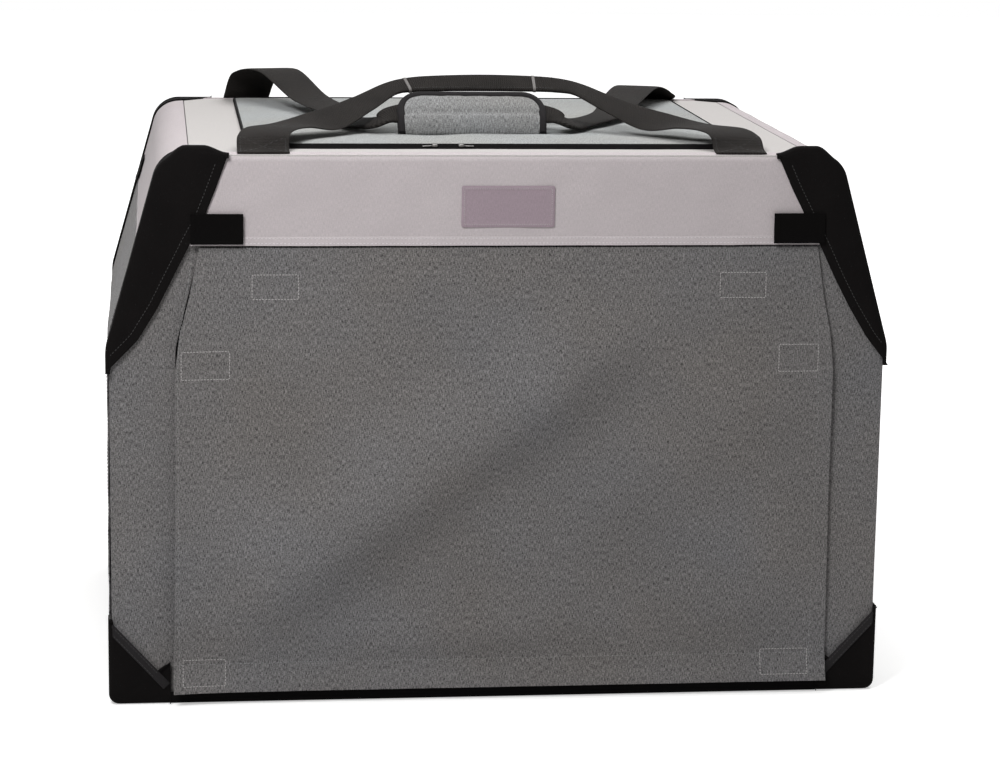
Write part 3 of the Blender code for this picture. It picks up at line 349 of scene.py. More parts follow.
def make(name, V, F, uv, mat, sharp=40.0):
    """A mesh object from vertices, equal-sided faces and a UV for each vertex."""
    mesh = bpy.data.meshes.new(name)
    F = np.asarray(F, dtype=np.int32)
    mesh.vertices.add(len(V))
    mesh.vertices.foreach_set("co", np.ascontiguousarray(V, dtype=np.float32).ravel())
    mesh.loops.add(F.size)
    mesh.loops.foreach_set("vertex_index", F.ravel())
    mesh.polygons.add(len(F))
    mesh.polygons.foreach_set("loop_start", np.arange(0, F.size, F.shape[1], dtype=np.int32))
    mesh.update(calc_edges=True)
    corner_uv = np.ascontiguousarray(uv[F.ravel()], dtype=np.float32).ravel()
    mesh.uv_layers.new(name="cloth").data.foreach_set("uv", corner_uv)
    mesh.polygons.foreach_set("use_smooth", np.ones(len(F), dtype=bool))
    mesh.set_sharp_from_angle(angle=math.radians(sharp))
    mesh.materials.append(mat)
    obj = bpy.data.objects.new(name, mesh)
    bpy.context.scene.collection.objects.link(obj)
    return obj


def slab(name, P, uv, thick, mat, wrap=False, turned=False):
    """A sheet whose outer face is the grid P: inner = P - thick * normal. turned swaps the two sides of P."""
    if turned:
        P, uv = P[::-1], uv[::-1]
    nu, nv = P.shape[:2]
    inner = P - thick * normals(P, wrap)
    face = quads(nu, nv, wrap)
    F = np.concatenate([face, face[:, ::-1] + nu * nv, rims(nu, nv, wrap)])
    obj = make(name, np.concatenate([P, inner]).reshape(-1, 3), F, np.concatenate([uv, uv]).reshape(-1, 2), mat)
    cross = np.cross(P[1:, :-1] - P[:-1, :-1], P[:-1, 1:] - P[:-1, :-1])
    obj["area"] = float(np.linalg.norm(cross, axis=2).sum())
    return obj


# %% [markdown]
# ## How pieces move
# When the crate folds, the rear hoop comes forward 432 mm and the cloth between the hoops crumples. `place` says what a
# piece rides on and stands for, and gives a piece with a squash name a mesh of its own.

# %% Placing helper
NARROWEST = 0.0105


def place(obj, body, replaces=None, squash=None, cut=None, held="stretched", slot=None):
    """Rides a body, hides the CAD node it stands for, gives a squashed piece a mesh of its own and prints a sheet's
    flat size. The slot argument is not used. A cut of one number is the nominal width of a strip, whose length is then
    its area over that width. A narrower width is printed as NARROWEST. No flat size may be under 10 mm, so a narrower
    tape is declared NARROWEST wide."""
    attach(obj, body)
    if replaces:
        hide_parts(replaces)
    if squash:
        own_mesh(obj)
    note = f"{obj.name}: rides {body}, {len(obj.data.polygons)} faces"
    if cut:
        wide, length = cut if isinstance(cut, tuple) else (cut, obj["area"] / cut)
        wide = max(wide, NARROWEST)
        note += f", cut {wide:.3f} x {length:.3f} m"
    print(note)
    return obj


# %% [markdown]
# ## The outline
# The front and rear share one outline: a box 762 mm wide, a knee 188 mm below the top, and sides that lean in to
# 656 mm. A table of points and outward normals along its right half gives every other piece its place. Stepping
# inwards along the normals gives the inner layers.

# %% Outline of the crate
WIDTH, DEPTH, HEIGHT, KNEE, TOP_WIDTH = 0.762, 0.533, 0.540, 0.352, 0.656
CLOTH, THIN, NET_THICK = 0.0015, 0.0013, 0.0009
MIRROR = np.array([-1, 1])


def layer(n):
    """Depth of a cloth layer's outer face inside the outermost surface."""
    return n * 0.0018


def rounded(points, radii, steps=14):
    """A path through points with arcs at the inner ones: returns positions and right-hand normals."""
    points = [np.array(p, dtype=float) for p in points]
    out, nor = [points[0]], []
    for p, q, r, radius in zip(points, points[1:], points[2:], radii):
        a, b = unit(q - p), unit(r - q)
        bend = math.acos(float(np.clip(a @ b, -1, 1)))
        na, nb = np.array([a[1], -a[0]]), np.array([b[1], -b[0]])
        centre = q - a * radius * math.tan(bend / 2) - na * radius
        t = np.linspace(0, 1, steps)[:, None]
        n = (np.sin((1 - t) * bend) * na + np.sin(t * bend) * nb) / math.sin(bend)
        if not nor:
            nor.append(na)
        out.extend(centre + n * radius)
        nor.extend(n)
    return np.array(out + [points[-1]]), np.array(nor + nor[-1:])


EDGE, EDGE_N = rounded([(0, 0), (WIDTH / 2, 0), (WIDTH / 2, KNEE), (TOP_WIDTH / 2, HEIGHT), (0, HEIGHT)],
                       [0.010, 0.040, 0.030])
EDGE_S = run_of(EDGE)


def edge(s, depth=0.0):
    """Point (x, z) of the outline at arc length s, depth inside it, and the normal there."""
    n = unit(at_run(s, EDGE_S, EDGE_N))
    return at_run(s, EDGE_S, EDGE) - depth * n, n


def edge_table(depth):
    s = np.linspace(0, EDGE_S[-1], 4000)
    return s, *edge(s, depth)[0].T


def s_at_z(z, depth=0.0):
    """Arc length where the outline, depth inside, reaches height z."""
    s, _, zs = edge_table(depth)
    return np.interp(z, zs, s)


def s_at_top(x):
    """Arc length where the flat top reaches half width x."""
    return EDGE_S[-1] - x


def half_width(z, depth=0.0):
    """Half the width of the outline at height z."""
    _, xs, zs = edge_table(depth)
    return np.interp(z, zs, xs)


def mirrored(right):
    """A closed curve from its right half, which runs from the bottom middle to the top middle."""
    return np.concatenate([right, (right * MIRROR)[::-1]])


def loop(depth):
    """The whole outline, depth inside it."""
    return mirrored(edge(np.unique(np.concatenate([EDGE_S, np.linspace(0, EDGE_S[-1], 400)])), depth)[0])


print("outline", round(2 * EDGE_S[-1], 3), "m round, knee at", KNEE)

# %% [markdown]
# ## Flat patterns and where they go
# A pattern piece is drawn flat, as a tailor would, and then laid on a face of the crate. Two kinds of grid do for
# every piece: a panel, whose width changes with height, and a ring round an opening. `lay` turns the flat points
# into space on the front, rear, left, right or top, with any fullness added outwards.

# %% Pattern helpers
def panel(zs, half, columns=60, centre=0.0):
    """Points (x, z): x = centre + u * half(z), u from -1 to 1. A plain number does for half too."""
    u, z = grid(np.linspace(-1, 1, columns), zs)
    return np.stack([centre + u * (half(z) if callable(half) else half), z], -1)


def ring(outer, inner, centre, n=360, rows=7, corners=()):
    """Points between two closed curves round a centre: (1 - v) * outer radius + v * inner radius on each ray."""
    at = np.concatenate([np.linspace(-math.pi, math.pi, n, endpoint=False),
                         [math.atan2(c[1] - centre[1], c[0] - centre[0]) for c in corners]])
    at = np.unique(np.round(at, 5))
    radii = []
    for curve in (outer, inner):
        d = np.asarray(curve) - centre
        a, r = np.arctan2(d[:, 1], d[:, 0]), np.hypot(d[:, 0], d[:, 1])
        order = np.argsort(a)
        radii.append(np.interp(at, a[order], r[order], period=2 * math.pi)[:, None])
    v = np.linspace(0, 1, rows)
    r = radii[0] * (1 - v) + radii[1] * v
    return np.stack([centre[0] + r * np.cos(at)[:, None], centre[1] + r * np.sin(at)[:, None]], -1)


def dense(points, step=0.002):
    """A closed polyline with points every step."""
    p = np.asarray(points, dtype=float)
    parts = []
    for a, b in zip(p, np.roll(p, -1, axis=0)):
        n = max(2, int(np.linalg.norm(b - a) / step))
        parts.append(a + (b - a) * np.linspace(0, 1, n, endpoint=False)[:, None])
    return np.concatenate(parts)


def rect(x0, x1, y0, y1, *radii):
    """A rectangle as a dense closed curve. One radius rounds all its corners; four go from the lower right."""
    corners = ((x1, y0, -1, 1, -0.5), (x1, y1, -1, -1, 0), (x0, y1, 1, -1, 0.5), (x0, y0, 1, 1, 1))
    if not radii:
        return dense([c[:2] for c in corners[-1:] + corners[:-1]])
    t = np.linspace(0, math.pi / 2, 9)
    return dense(np.concatenate([
        np.stack([x + sx * r + r * np.cos(t + a * math.pi), y + sy * r + r * np.sin(t + a * math.pi)], 1)
        for (x, y, sx, sy, a), r in zip(corners, radii * 4 if len(radii) == 1 else radii)]))


def lay(P2, where, depth, out=0.0):
    """Flat points (a, b) in space. front and rear: a = x, b = z. left and right: a = y, b = arc length up the end.
    top: a = x, b = y. out is added outwards. Returns (points, whether the face was turned over)."""
    a, b = P2[..., 0], P2[..., 1]
    out = np.broadcast_to(out, a.shape)
    if where in ("front", "rear"):
        y = DEPTH / 2 - depth + out
        return np.stack([a, -y if where == "front" else y, b], -1), where == "rear"
    if where == "top":
        return np.stack([a, b, HEIGHT - depth + out], -1), False
    p, n = edge(b, depth)
    x, z = p[..., 0] + n[..., 0] * out, p[..., 1] + n[..., 1] * out
    return np.stack([x if where == "right" else -x, a, z], -1), where == "left"


def cloth(name, P2, where, depth, mat, body, replaces=None, out=0.0, thick=CLOTH, wrap=False, **placing):
    """A sewn sheet laid on a face of the crate, and placed."""
    P, over = lay(P2, where, depth, out)
    return place(slab(name, P, P2, thick, mat, wrap, over), body, replaces, **placing)


def rows_between(low, high, step, *marks):
    """Heights from low to high, with closer rows round each mark, such as a fold of a hem."""
    z = [np.arange(low, high, step), [high]] + [m + np.array([-0.0018, -0.0009, 0, 0.0009, 0.0018]) for m in marks]
    z = np.unique(np.round(np.concatenate(z), 5))
    return z[(z >= low) & (z <= high)]


def step_up(x, at, width):
    """0 below at, 1 above, by a smooth cubic of that width."""
    t = np.clip((x - at) / width + 0.5, 0, 1)
    return t * t * (3 - 2 * t)


def crown(n, power=1.0):
    """A rise over n rows: 0 at both edges and 1 in the middle."""
    return np.sin(np.linspace(0, math.pi, n)) ** power


def ripple(a, b, scale, seed, octaves=3):
    """Soft unevenness from -1 to 1: a sum of plane sine waves in turned directions."""
    total, size = 0.0, 0.0
    for k in range(octaves):
        w = 2 * math.pi / (scale / 1.7 ** k)
        t = seed * 1.93 + k * 2.399
        total = total + np.sin(w * (a * math.cos(t) + b * math.sin(t)) + seed * 3.1 + k) / 1.5 ** k
        size += 1 / 1.5 ** k
    return total / size


# %% [markdown]
# ## Front panel
# Behind the flap the front wall is a ring of heather cloth round the zipped doorway. Its margin shows each side of
# the flap, a little slack between the hoop and the zip.

# %% Front panel
MIDDLE = np.array([0.0, 0.234])
DOOR_HALF, DOOR_TOP_HALF, DOOR_LOW, DOOR_HIGH = 0.3145, 0.2915, 0.022, 0.4462


def door_curve(d):
    """The doorway, d inside it: a box whose sides lean in above the knee, with rounded lower corners."""
    lean = (DOOR_HALF - DOOR_TOP_HALF) / (DOOR_HIGH - KNEE)
    right = [(0, DOOR_LOW + d), (DOOR_HALF - d, DOOR_LOW + d), (DOOR_HALF - d, KNEE),
             (DOOR_TOP_HALF - d + lean * d, DOOR_HIGH - d), (0, DOOR_HIGH - d)]
    path = rounded(right, [max(0.03 - d, 0.004), max(0.06 - d, 0.02), 0.002])[0]
    return dense(mirrored(path)[:-1])


P2 = ring(loop(layer(2)), door_curve(0), MIDDLE, 420, 8)
slack = 0.000605 * (1 + ripple(P2[..., 0], P2[..., 1], 0.16, 3)) * crown(8)
cloth("front_panel", P2, "front", layer(2), HEATHER, "front_frame", "front_skin", slack, wrap=True, cut=0.055)

# %% [markdown]
# ## Rear panel and windows
# The rear has no door: its net window is sewn into the panel. Each net is tucked under a black binding, which is a
# narrow ring with a raised middle. The same helper makes the rings of all the windows.

# %% Rear panel, its net and binding
BINDING_DEPTH = layer(2) - 0.0003
REAR_MIDDLE = np.array([0.0, 0.245])


def bound_ring(name, outer, inner, centre, where, squash=None):
    """Folded tape: a ring that rises 0.5 mm in its middle."""
    P2 = ring(outer, inner, centre, 300, 7)
    width = float(np.median(np.linalg.norm(P2[:, 0] - P2[:, -1], axis=-1)))
    body = "rear_frame" if where == "rear" else "front_frame"
    return cloth(name, P2, where, BINDING_DEPTH, BINDING, body, out=0.0005 * crown(7, 0.5), wrap=True,
                 squash=squash, cut=width)


def rear_net_half(z):
    """Half width of the rear net: 289.7 mm, drawn in at its rounded corners."""
    return np.interp(z, [0.0603, 0.07, 0.085, 0.10, 0.39, 0.405, 0.42, 0.4297],
                     [0.262, 0.2766, 0.286, 0.2897, 0.2897, 0.286, 0.2766, 0.262])


P2 = ring(loop(layer(2)), rect(-0.290, 0.290, 0.060, 0.430, 0.04), REAR_MIDDLE, 420, 8)
cloth("rear_panel", P2, "rear", layer(2), HEATHER, "rear_frame", "rear_skin", 0.0003, wrap=True, cut=0.085)
P2 = panel(np.linspace(0.0603, 0.4297, 40), rear_net_half)
cloth("rear_net", P2, "rear", layer(2), NET, "rear_frame", "rear_window_mesh", -0.0002, NET_THICK, cut=(0.580, 0.370))
bound_ring("rear_window_binding", rect(-0.301, 0.301, 0.049, 0.441, 0.05), rect(-0.283, 0.283, 0.067, 0.423, 0.035),
           REAR_MIDDLE, "rear")

# %% [markdown]
# ## End walls
# An end wall is one sheet of heather cloth that stands up from the base, leans in above the knee and turns over the
# top hoop onto the lid. Laid flat it is a rectangle with a net window, so it is a ring whose second coordinate is
# the distance up the end.

# %% End walls, nets and window bindings
INSIDE = DEPTH / 2 - layer(2) - CLOTH - 0.0003
LOW_S, LAP_S = s_at_z(0.012), s_at_top(0.285)
SILL, LINTEL = s_at_z(0.060), s_at_z(0.430)
WINDOW_HALF, NET_HALF = 0.190, 0.1897
END_MIDDLE = np.array([0.0, (SILL + LINTEL) / 2])
END_CORNERS = [(sign * y, s) for y, pair in ((INSIDE, (LOW_S, LAP_S)), (WINDOW_HALF, (SILL, LINTEL)))
               for sign in (-1, 1) for s in pair]


def end_window(d, radius):
    """The end window's opening, d outside it."""
    return rect(-WINDOW_HALF - d, WINDOW_HALF + d, SILL - d, LINTEL + d, radius)


for side in ("left", "right"):
    P2 = ring(rect(-INSIDE, INSIDE, LOW_S, LAP_S), end_window(0, 0.001), END_MIDDLE, 360, 16, END_CORNERS)
    cloth(f"{side}_end_wall", P2, side, layer(2), HEATHER, "front_frame", f"{side}_wall", 0.0002, wrap=True,
          squash="shell", cut=0.13)
    s = np.linspace(SILL + 0.0003, LINTEL - 0.0003, 44)
    cloth(f"{side}_end_net", panel(s, NET_HALF, 40), side, layer(2), NET, "front_frame", f"{side}_window_mesh",
          -0.0002, NET_THICK, squash="shell", cut=(2 * NET_HALF, s[-1] - s[0]))
    bound_ring(f"{side}_window_binding", end_window(0.010, 0.012), end_window(-0.008, 0.004), END_MIDDLE, side,
               "shell")

# %% [markdown]
# ## Front doorway: zip, binding and net
# The net door is framed by black binding and closes with a coil zip down both sides and along the bottom. The zip is
# a tape with a raised coil, which is real geometry here: its height along the width is a bump, and its height
# along the length is a fast sine.

# %% Zip, door binding and door net
ZIP_TOP, BINDING_TOP, BINDING_WIDE = 0.434, 0.4447, 0.012


def doorway_half(z):
    """Half width of the door net at height z."""
    path = door_curve(0.0189)
    right = path[path[:, 0] > 1e-6]
    right = right[np.argsort(right[:, 1])]
    return np.interp(z, right[:, 1], right[:, 0])


def below(path, top):
    """A closed curve with the part above top pressed down to it."""
    return np.stack([path[:, 0], np.minimum(path[:, 1], top)], -1)


P2 = ring(door_curve(0.0003), door_curve(0.0063), MIDDLE, 1400, 9)
keep = P2[:, 0, 1] < ZIP_TOP
P2 = np.roll(P2, -int(np.argmin(keep)) - int((~keep).sum()), axis=0)[:int(keep.sum())]
across = np.abs(np.linspace(-1, 1, 9))
coil = np.where(across < 0.45, 0.0007 * np.cos(across * math.pi / 0.9), 0)
teeth = 0.75 + 0.25 * np.sin(run_of(P2[:, 4])[:, None] * 2 * math.pi / 0.004)
cloth("front_zip_coil", P2, "front", layer(2), BINDING, "front_frame", "front_door_zip", coil * teeth - 0.0003,
      cut=0.006)
P2 = ring(below(door_curve(0.0066), BINDING_TOP), below(door_curve(0.0186), BINDING_TOP - BINDING_WIDE), MIDDLE,
          420, 7)
cloth("door_binding", P2, "front", layer(2), BINDING, "front_door", "front_door_binding", 0.0004 * crown(7, 0.5),
      wrap=True, cut=BINDING_WIDE)
zs = np.linspace(0.0412, BINDING_TOP - 0.0125, 50)
cloth("door_net", panel(zs, doorway_half), "front", layer(2), NET, "front_door", "front_door_mesh", -0.0002,
      NET_THICK, cut=(0.592, zs[-1] - zs[0]))

# %% [markdown]
# ## Pale bands
# A band of smooth pale cloth runs round the top of all four sides, 88 mm deep on the front. Its lower edge is a
# folded hem. On the front and rear it turns over the top hoop and is stitched down onto the lid, so its section is
# carried up the face, round a small arc and back along the lid. On the ends it follows the outline.

# %% Front and rear bands
BAND_LOW, BAND_BACK, TURN, HEM = 0.4517, 0.0060, 0.0078, 0.0085


def band_section():
    """Distance up the band -> (height, depth behind the face): straight, a quarter circle of radius TURN, straight."""
    rise, arc = HEIGHT - 0.0006 - TURN - BAND_LOW, TURN * math.pi / 2
    s = np.unique(np.round(np.concatenate([rows_between(0, rise, 0.004, HEM), rise + np.linspace(0, arc, 8),
                                           rise + arc + np.linspace(0, BAND_BACK, 4)]), 6))
    t = np.clip((s - rise) / TURN, 0, math.pi / 2)
    z = BAND_LOW + np.minimum(s, rise) + TURN * np.sin(t)
    return s, z, TURN * (1 - np.cos(t)) + np.maximum(s - rise - arc, 0), t


def hem_kick(s, x):
    """The doubled hem stands out and turns up a little between the tabs, so it catches more light than the band."""
    return (0.0005 + 0.20 * (HEM - s) * step_up(0.235 - np.abs(x), 0.0, 0.025)) * (s < HEM)


s, z, back, t = band_section()
half = np.where(z < HEIGHT - TURN, half_width(np.minimum(z, 0.5355), layer(1)) - 0.0002, 0.300)
u, j = grid(np.linspace(-1, 1, 150), np.arange(len(s)))
x = u * np.minimum(half, 0.3495)[j]
for end, face in (("front", -1), ("rear", 1)):
    hem = hem_kick(s[j], x) if face < 0 else 0
    fullness = (0.00035 + 0.0004 * ripple(x, z[j], 0.09, 5) + hem) * (s[j] < 0.075)
    y = DEPTH / 2 - layer(1) - back[j] + fullness * np.cos(t[j])
    P = np.stack([x, face * y, z[j] + 0.0003 * np.sin(t[j])], -1)
    band = slab(f"{end}_pale_band", P, np.stack([x, s[j]], -1), THIN, PALE, turned=face > 0)
    place(band, f"{end}_frame", f"{end}_band", cut=(0.70, s[-1]))

# %% End bands
BAND_S = (s_at_z(BAND_LOW, layer(1)), s_at_top(0.300))
P2 = panel(rows_between(*BAND_S, 0.004, BAND_S[0] + HEM), INSIDE, 90)
full = 0.0002 + 0.0003 * ripple(P2[..., 0], P2[..., 1], 0.1, 8) + 0.0005 * (P2[..., 1] < BAND_S[0] + HEM)
for side in ("left", "right"):
    cloth(f"{side}_pale_band", P2, side, layer(1), PALE, "front_frame", f"{side}_wall_band", full, squash="shell",
          cut=(2 * INSIDE, P2[0, -1, 1] - P2[0, 0, 1]))

# %% [markdown]
# ## Roll-up flaps
# Each opening has a flap of heather cloth that hangs from under the band and rolls up to let air in. The front one
# shows most: its sides are free and stand a few millimetres off the panel, one long soft fold runs up from the lower
# left, and the lower hem is doubled and kicks out over the base binding.

# %% Front flap
FLAP_TOP, FLAP_LOW = 0.4496, 0.0130
SIDE_Z = [0.01, 0.20, 0.33, 0.365, 0.40, FLAP_TOP]
LEFT_X = [-0.3180, -0.3152, -0.3145, -0.3105, -0.3015, -0.2915]
RIGHT_X = [0.3290, 0.3268, 0.3262, 0.3225, 0.3150, 0.3075]
# Each fold: from (x, z) to (x, z), half width, height.
FOLDS = ((-0.316, 0.044, 0.150, 0.384, 0.042, 0.0200), (-0.180, 0.058, 0.085, 0.072, 0.018, 0.0044),
         (0.020, 0.150, 0.330, 0.330, 0.050, 0.0048), (0.120, 0.060, 0.310, 0.110, 0.030, 0.0026))


def flap_half(z):
    """Half width of the rear flap: 319.5 mm below the knee, 303.5 mm at the band."""
    return np.interp(z, [0, 0.335, 0.37, FLAP_TOP], [0.3195, 0.3195, 0.3165, 0.3035])


def front_sides(z):
    """Where the sides of the front flap hang: it has slipped 8 mm to the right, as in the photograph."""
    return np.interp(z, SIDE_Z, LEFT_X), np.interp(z, SIDE_Z, RIGHT_X)


def front_fullness(x, z):
    """Outward fullness of the hanging front flap: belly, free edges, one long diagonal fold and fainter ones, hem."""
    hang = step_up(FLAP_TOP - z, 0.05, 0.16)
    left, right = front_sides(z)
    side = np.clip((2 * x - left - right) / (right - left), -1, 1)
    out = 0.0006 + hang * (0.0012 + 0.0058 * np.clip(-side, 0, 1) ** 9 + 0.0008 * np.clip(side, 0, 1) ** 10)
    for x0, z0, x1, z1, wide, high in FOLDS:
        dx, dz = x1 - x0, z1 - z0
        length = math.hypot(dx, dz)
        run = ((x - x0) * dx + (z - z0) * dz) / length ** 2
        off = ((z - z0) * dx - (x - x0) * dz) / length / wide
        ends = step_up(run, 0.14, 0.34) * (1 - step_up(run, 0.92, 0.40))
        out = out + high * ends * np.exp(-np.where(off > 0, 0.55, 1.0) * off ** 2)
    foot = 0.0088 * step_up(0.040 - z, 0.015, 0.040) + 0.0006 * (z < 0.041)
    return out + foot + 0.0005 * ripple(x, z, 0.13, 4) + 0.00018 * ripple(x, z, 0.026, 9)


flap_zs = rows_between(FLAP_LOW, FLAP_TOP, 0.0052, 0.041)
u, z = grid(np.linspace(-1, 1, 130), flap_zs)
left, right = front_sides(z)
P2 = np.stack([(right + left) / 2 + u * (right - left) / 2, z], -1)
cloth("front_roll_flap", P2, "front", layer(1), HEATHER, "front_flap_body", "front_flap", front_fullness(*P2.T).T,
      THIN, cut=(0.647, 0.4385), held="hung")

# %% Rear and end flaps
FLAP_S = (s_at_z(FLAP_LOW, layer(1)), s_at_z(FLAP_TOP, layer(1)))
END_FLAPS = (("left", 5), ("right", 7))


def plain_fullness(a, b, top, seed):
    """A flap held closed: almost flat, with faint unevenness."""
    return (0.0002 + 0.0012 * step_up(top - b, 0.1, 0.25) * (1 + 0.5 * ripple(a, b, 0.22, seed))
            + 0.0003 * ripple(a, b, 0.07, seed + 1) * step_up(top - b, 0.03, 0.05))


P2 = panel(flap_zs, flap_half, 100)
cloth("rear_roll_flap", P2, "rear", layer(1), HEATHER, "rear_flap_body", "rear_flap",
      plain_fullness(*P2.T, FLAP_TOP, 2).T + 0.0004, THIN, cut=(0.639, 0.4375), held="hung")
for side, seed in END_FLAPS:
    P2 = panel(rows_between(*FLAP_S, 0.0075, FLAP_S[0] + 0.028), 0.212, 70)
    cloth(f"{side}_roll_flap", P2, side, layer(1), HEATHER, f"{side}_flap_body", f"{side}_flap",
          plain_fullness(*P2.T, FLAP_S[1], seed).T + 0.0003, THIN, squash="flap",
          cut=(0.424, P2[0, -1, 1] - P2[0, 0, 1]), held="hung")

# %% [markdown]
# ## Roll-up tabs and the bare label
# Two short black tabs on the front, and one on each end, hold a rolled flap up. Each is doubled cloth with bound
# edges. Between the front tabs a small stitched label is left bare.

# %% Tabs and label
TAB_TOP, TAB_H, TAB_W, END_TAB_Y = 0.4825, 0.029, 0.050, 0.190
LABEL_X, LABEL_HALF, LABEL_LOW, LABEL_HIGH = 0.0035, 0.045, 0.469, 0.509
LABEL_DEPTH = layer(1) - 0.0011


def tab(name, where, depth, centre, low, tall, out, body, replaces, squash=None):
    """Thicker at the rim, where the cloth is folded in, and curling out a little at the free end."""
    high = low + tall
    P2 = panel(rows_between(low, high, 0.0018), TAB_W / 2, 36, centre)
    a, b = P2[..., 0], P2[..., 1]
    rim = np.minimum(TAB_W / 2 - np.abs(a - centre), b - low)
    full = out + 0.0005 * (1 - step_up(rim, 0.0045, 0.002)) + 0.0012 * step_up(high - b, 0.022, 0.02)
    cloth(name, P2, where, depth, LOOP, body, replaces, full, squash=squash, cut=(TAB_W, tall), held="hung")


def label_half(z):
    """Half width of the label, with corners of 2 mm radius."""
    over = np.clip(1 - np.minimum(z - LABEL_LOW, LABEL_HIGH - z) / 0.002, 0, 1)
    return LABEL_HALF - 0.002 * (1 - np.sqrt(1 - over ** 2))


END_TAB_LOW = s_at_z(TAB_TOP - TAB_H)
for side, x in (("left", -0.2745), ("right", 0.288)):
    tab(f"{side}_front_tab", "front", -0.0003 - CLOTH, x, TAB_TOP - TAB_H, TAB_H, 0.0001,
        f"rollup_tab_{side}_body", f"rollup_tab_{side}")
    tab(f"{side}_end_tab", side, 0.0, END_TAB_Y, END_TAB_LOW, s_at_z(TAB_TOP) - END_TAB_LOW, 0.0002,
        f"{side}_wall_tab_body", f"{side}_wall_tab", "shell")
P2 = panel(rows_between(LABEL_LOW, LABEL_HIGH, 0.002, 0.4705, 0.5075), label_half, 60, LABEL_X)
z = P2[..., 1]
rim = np.minimum(LABEL_HALF - np.abs(P2[..., 0] - LABEL_X), np.minimum(z - LABEL_LOW, LABEL_HIGH - z))
cloth("bare_label", P2, "front", LABEL_DEPTH, LABEL, "front_frame", "front_patch",
      0.0004 * step_up(rim, 0.0012, 0.002) - 0.0002 * step_up(rim, 0.0035, 0.001), 0.0009, cut=(0.090, 0.040))

# %% [markdown]
# ## Black corner covers
# Each top corner of a hoop wears a cover of doubled black cloth. On the face it is bounded by a line of straight
# runs, and it wraps 18 mm round onto the end, more over the rounded top corner. Its section is carried along the
# outline: in from the cut edge, round a small arc at the hoop, and back along the end.

# %% Wrapped corner pieces
COVER_EDGES = {
    "front_left": [(0.2628, 0.541), (0.2755, 0.506), (0.2865, 0.4785), (0.3010, 0.4515), (0.3160, 0.4220),
                   (0.3310, 0.3920), (0.3500, 0.3610), (0.3815, 0.3290)],
    "front_right": [(0.2640, 0.541), (0.2800, 0.506), (0.2940, 0.4790), (0.3095, 0.4510), (0.3250, 0.4190),
                    (0.3400, 0.3910), (0.3590, 0.3600), (0.3815, 0.3320)],
    "rear": [(0.2685, 0.541), (0.2820, 0.506), (0.2945, 0.476), (0.3085, 0.4475), (0.3225, 0.4190),
             (0.3370, 0.3900), (0.3560, 0.3600), (0.3815, 0.3295)]}
BEND = 0.0040
FACES, SIDES = (("front", -1), ("rear", 1)), (("left", -1), ("right", 1))


def follow(path, n):
    """A polyline resampled to n even points."""
    run = run_of(path)
    return at_run(np.linspace(0, 1, n) * run[-1], run, path)


def cover_edge(end, word, soft=5):
    """The cut edge of a cover, resampled, with its corners eased by a moving average."""
    p = follow(np.array(COVER_EDGES.get(f"{end}_{word}", COVER_EDGES["rear"])), 120)
    for _ in range(soft):
        p[1:-1] = (p[:-2] + 2 * p[1:-1] + p[2:]) / 4
    return p


def wrapped(name, cut_line, s, reach, side, face, thick, swell, lift=0.0):
    """Section from the cut edge to the hoop, a quarter circle of radius BEND, then reach[i] back along the end.
    lift[i] raises the hoop end of the section straight up, and the back edge comes down to the outline again."""
    E0, N = edge(s)
    up = np.stack([0 * s, np.broadcast_to(lift, s.shape)], -1)
    I = follow(cut_line, len(s))
    flat, arc, tail = np.linspace(0, 1, 16), np.linspace(0, math.pi / 2, 7)[1:], np.linspace(0, 1, 7)[1:]
    C = E0 + up - BEND * N
    A = I[:, None] * (1 - flat)[:, None] + C[:, None] * flat[:, None]
    far = np.linalg.norm(C - I, axis=1)[:, None] * flat
    puff = swell * np.sin(np.clip(far / 0.05, 0, 1) * math.pi / 2) + 0.0005 * (1 - step_up(far, 0.006, 0.002))
    B = C[:, None] + BEND * np.sin(arc)[:, None] * N[:, None]
    T = E0[:, None] + up[:, None] * (1 - tail ** 2)[:, None]
    back = reach[:, None] * tail
    y = np.concatenate([DEPTH / 2 + puff * (1 - flat ** 8),
                        np.broadcast_to(DEPTH / 2 - BEND + BEND * np.cos(arc), (len(s), 6)),
                        DEPTH / 2 - BEND - back], 1)
    xz = np.concatenate([A, B, T], 1)
    P = np.stack([side * xz[..., 0], face * y, xz[..., 1]], -1)
    across = np.concatenate([far, far[:, -1:] + BEND * arc, far[:, -1:] + BEND * math.pi / 2 + back], 1)
    P2 = np.stack([across, np.broadcast_to(s[:, None], across.shape)], -1)
    return slab(name, P, P2, thick, BLACK, turned=side * face < 0)


for (end, face), (word, side) in itertools.product(FACES, SIDES):
    # A lens-shaped tail lies on the lid. The front covers puff up over the rounded top corner.
    line = cover_edge(end, word)[::-1]
    top, low = line[-1, 0], line[0, 1]
    s = np.linspace(s_at_z(low), s_at_top(top), 110)
    x = edge(s)[0][:, 0]
    tail = 0.006 + 0.028 * np.sin(math.pi * np.minimum((x - top) / 0.0765 * 8, 7) / 9)
    tail = np.where(x < 0.345, tail, 0.018 + 0.006 * np.exp(-(x - 0.345) / 0.006)) - BEND
    lift = (0.0072 if end == "front" else 0.0) * step_up(x - top, 0.012, 0.024) * step_up(0.322 - x, 0.009, 0.018)
    cover = wrapped(f"{end}_{word}_top_cover", line, s, np.maximum(tail, 0.002), side, face, CLOTH, 0.0016, lift)
    place(cover, f"{end}_frame", f"{end}_corner_cover_{word}", cut=0.125)

# %% [markdown]
# ## Base corners and base binding
# The bottom corners are black patches cut off at a slant, bound with a strip that catches the light, and a black
# binding runs along the foot of the front and rear between them.

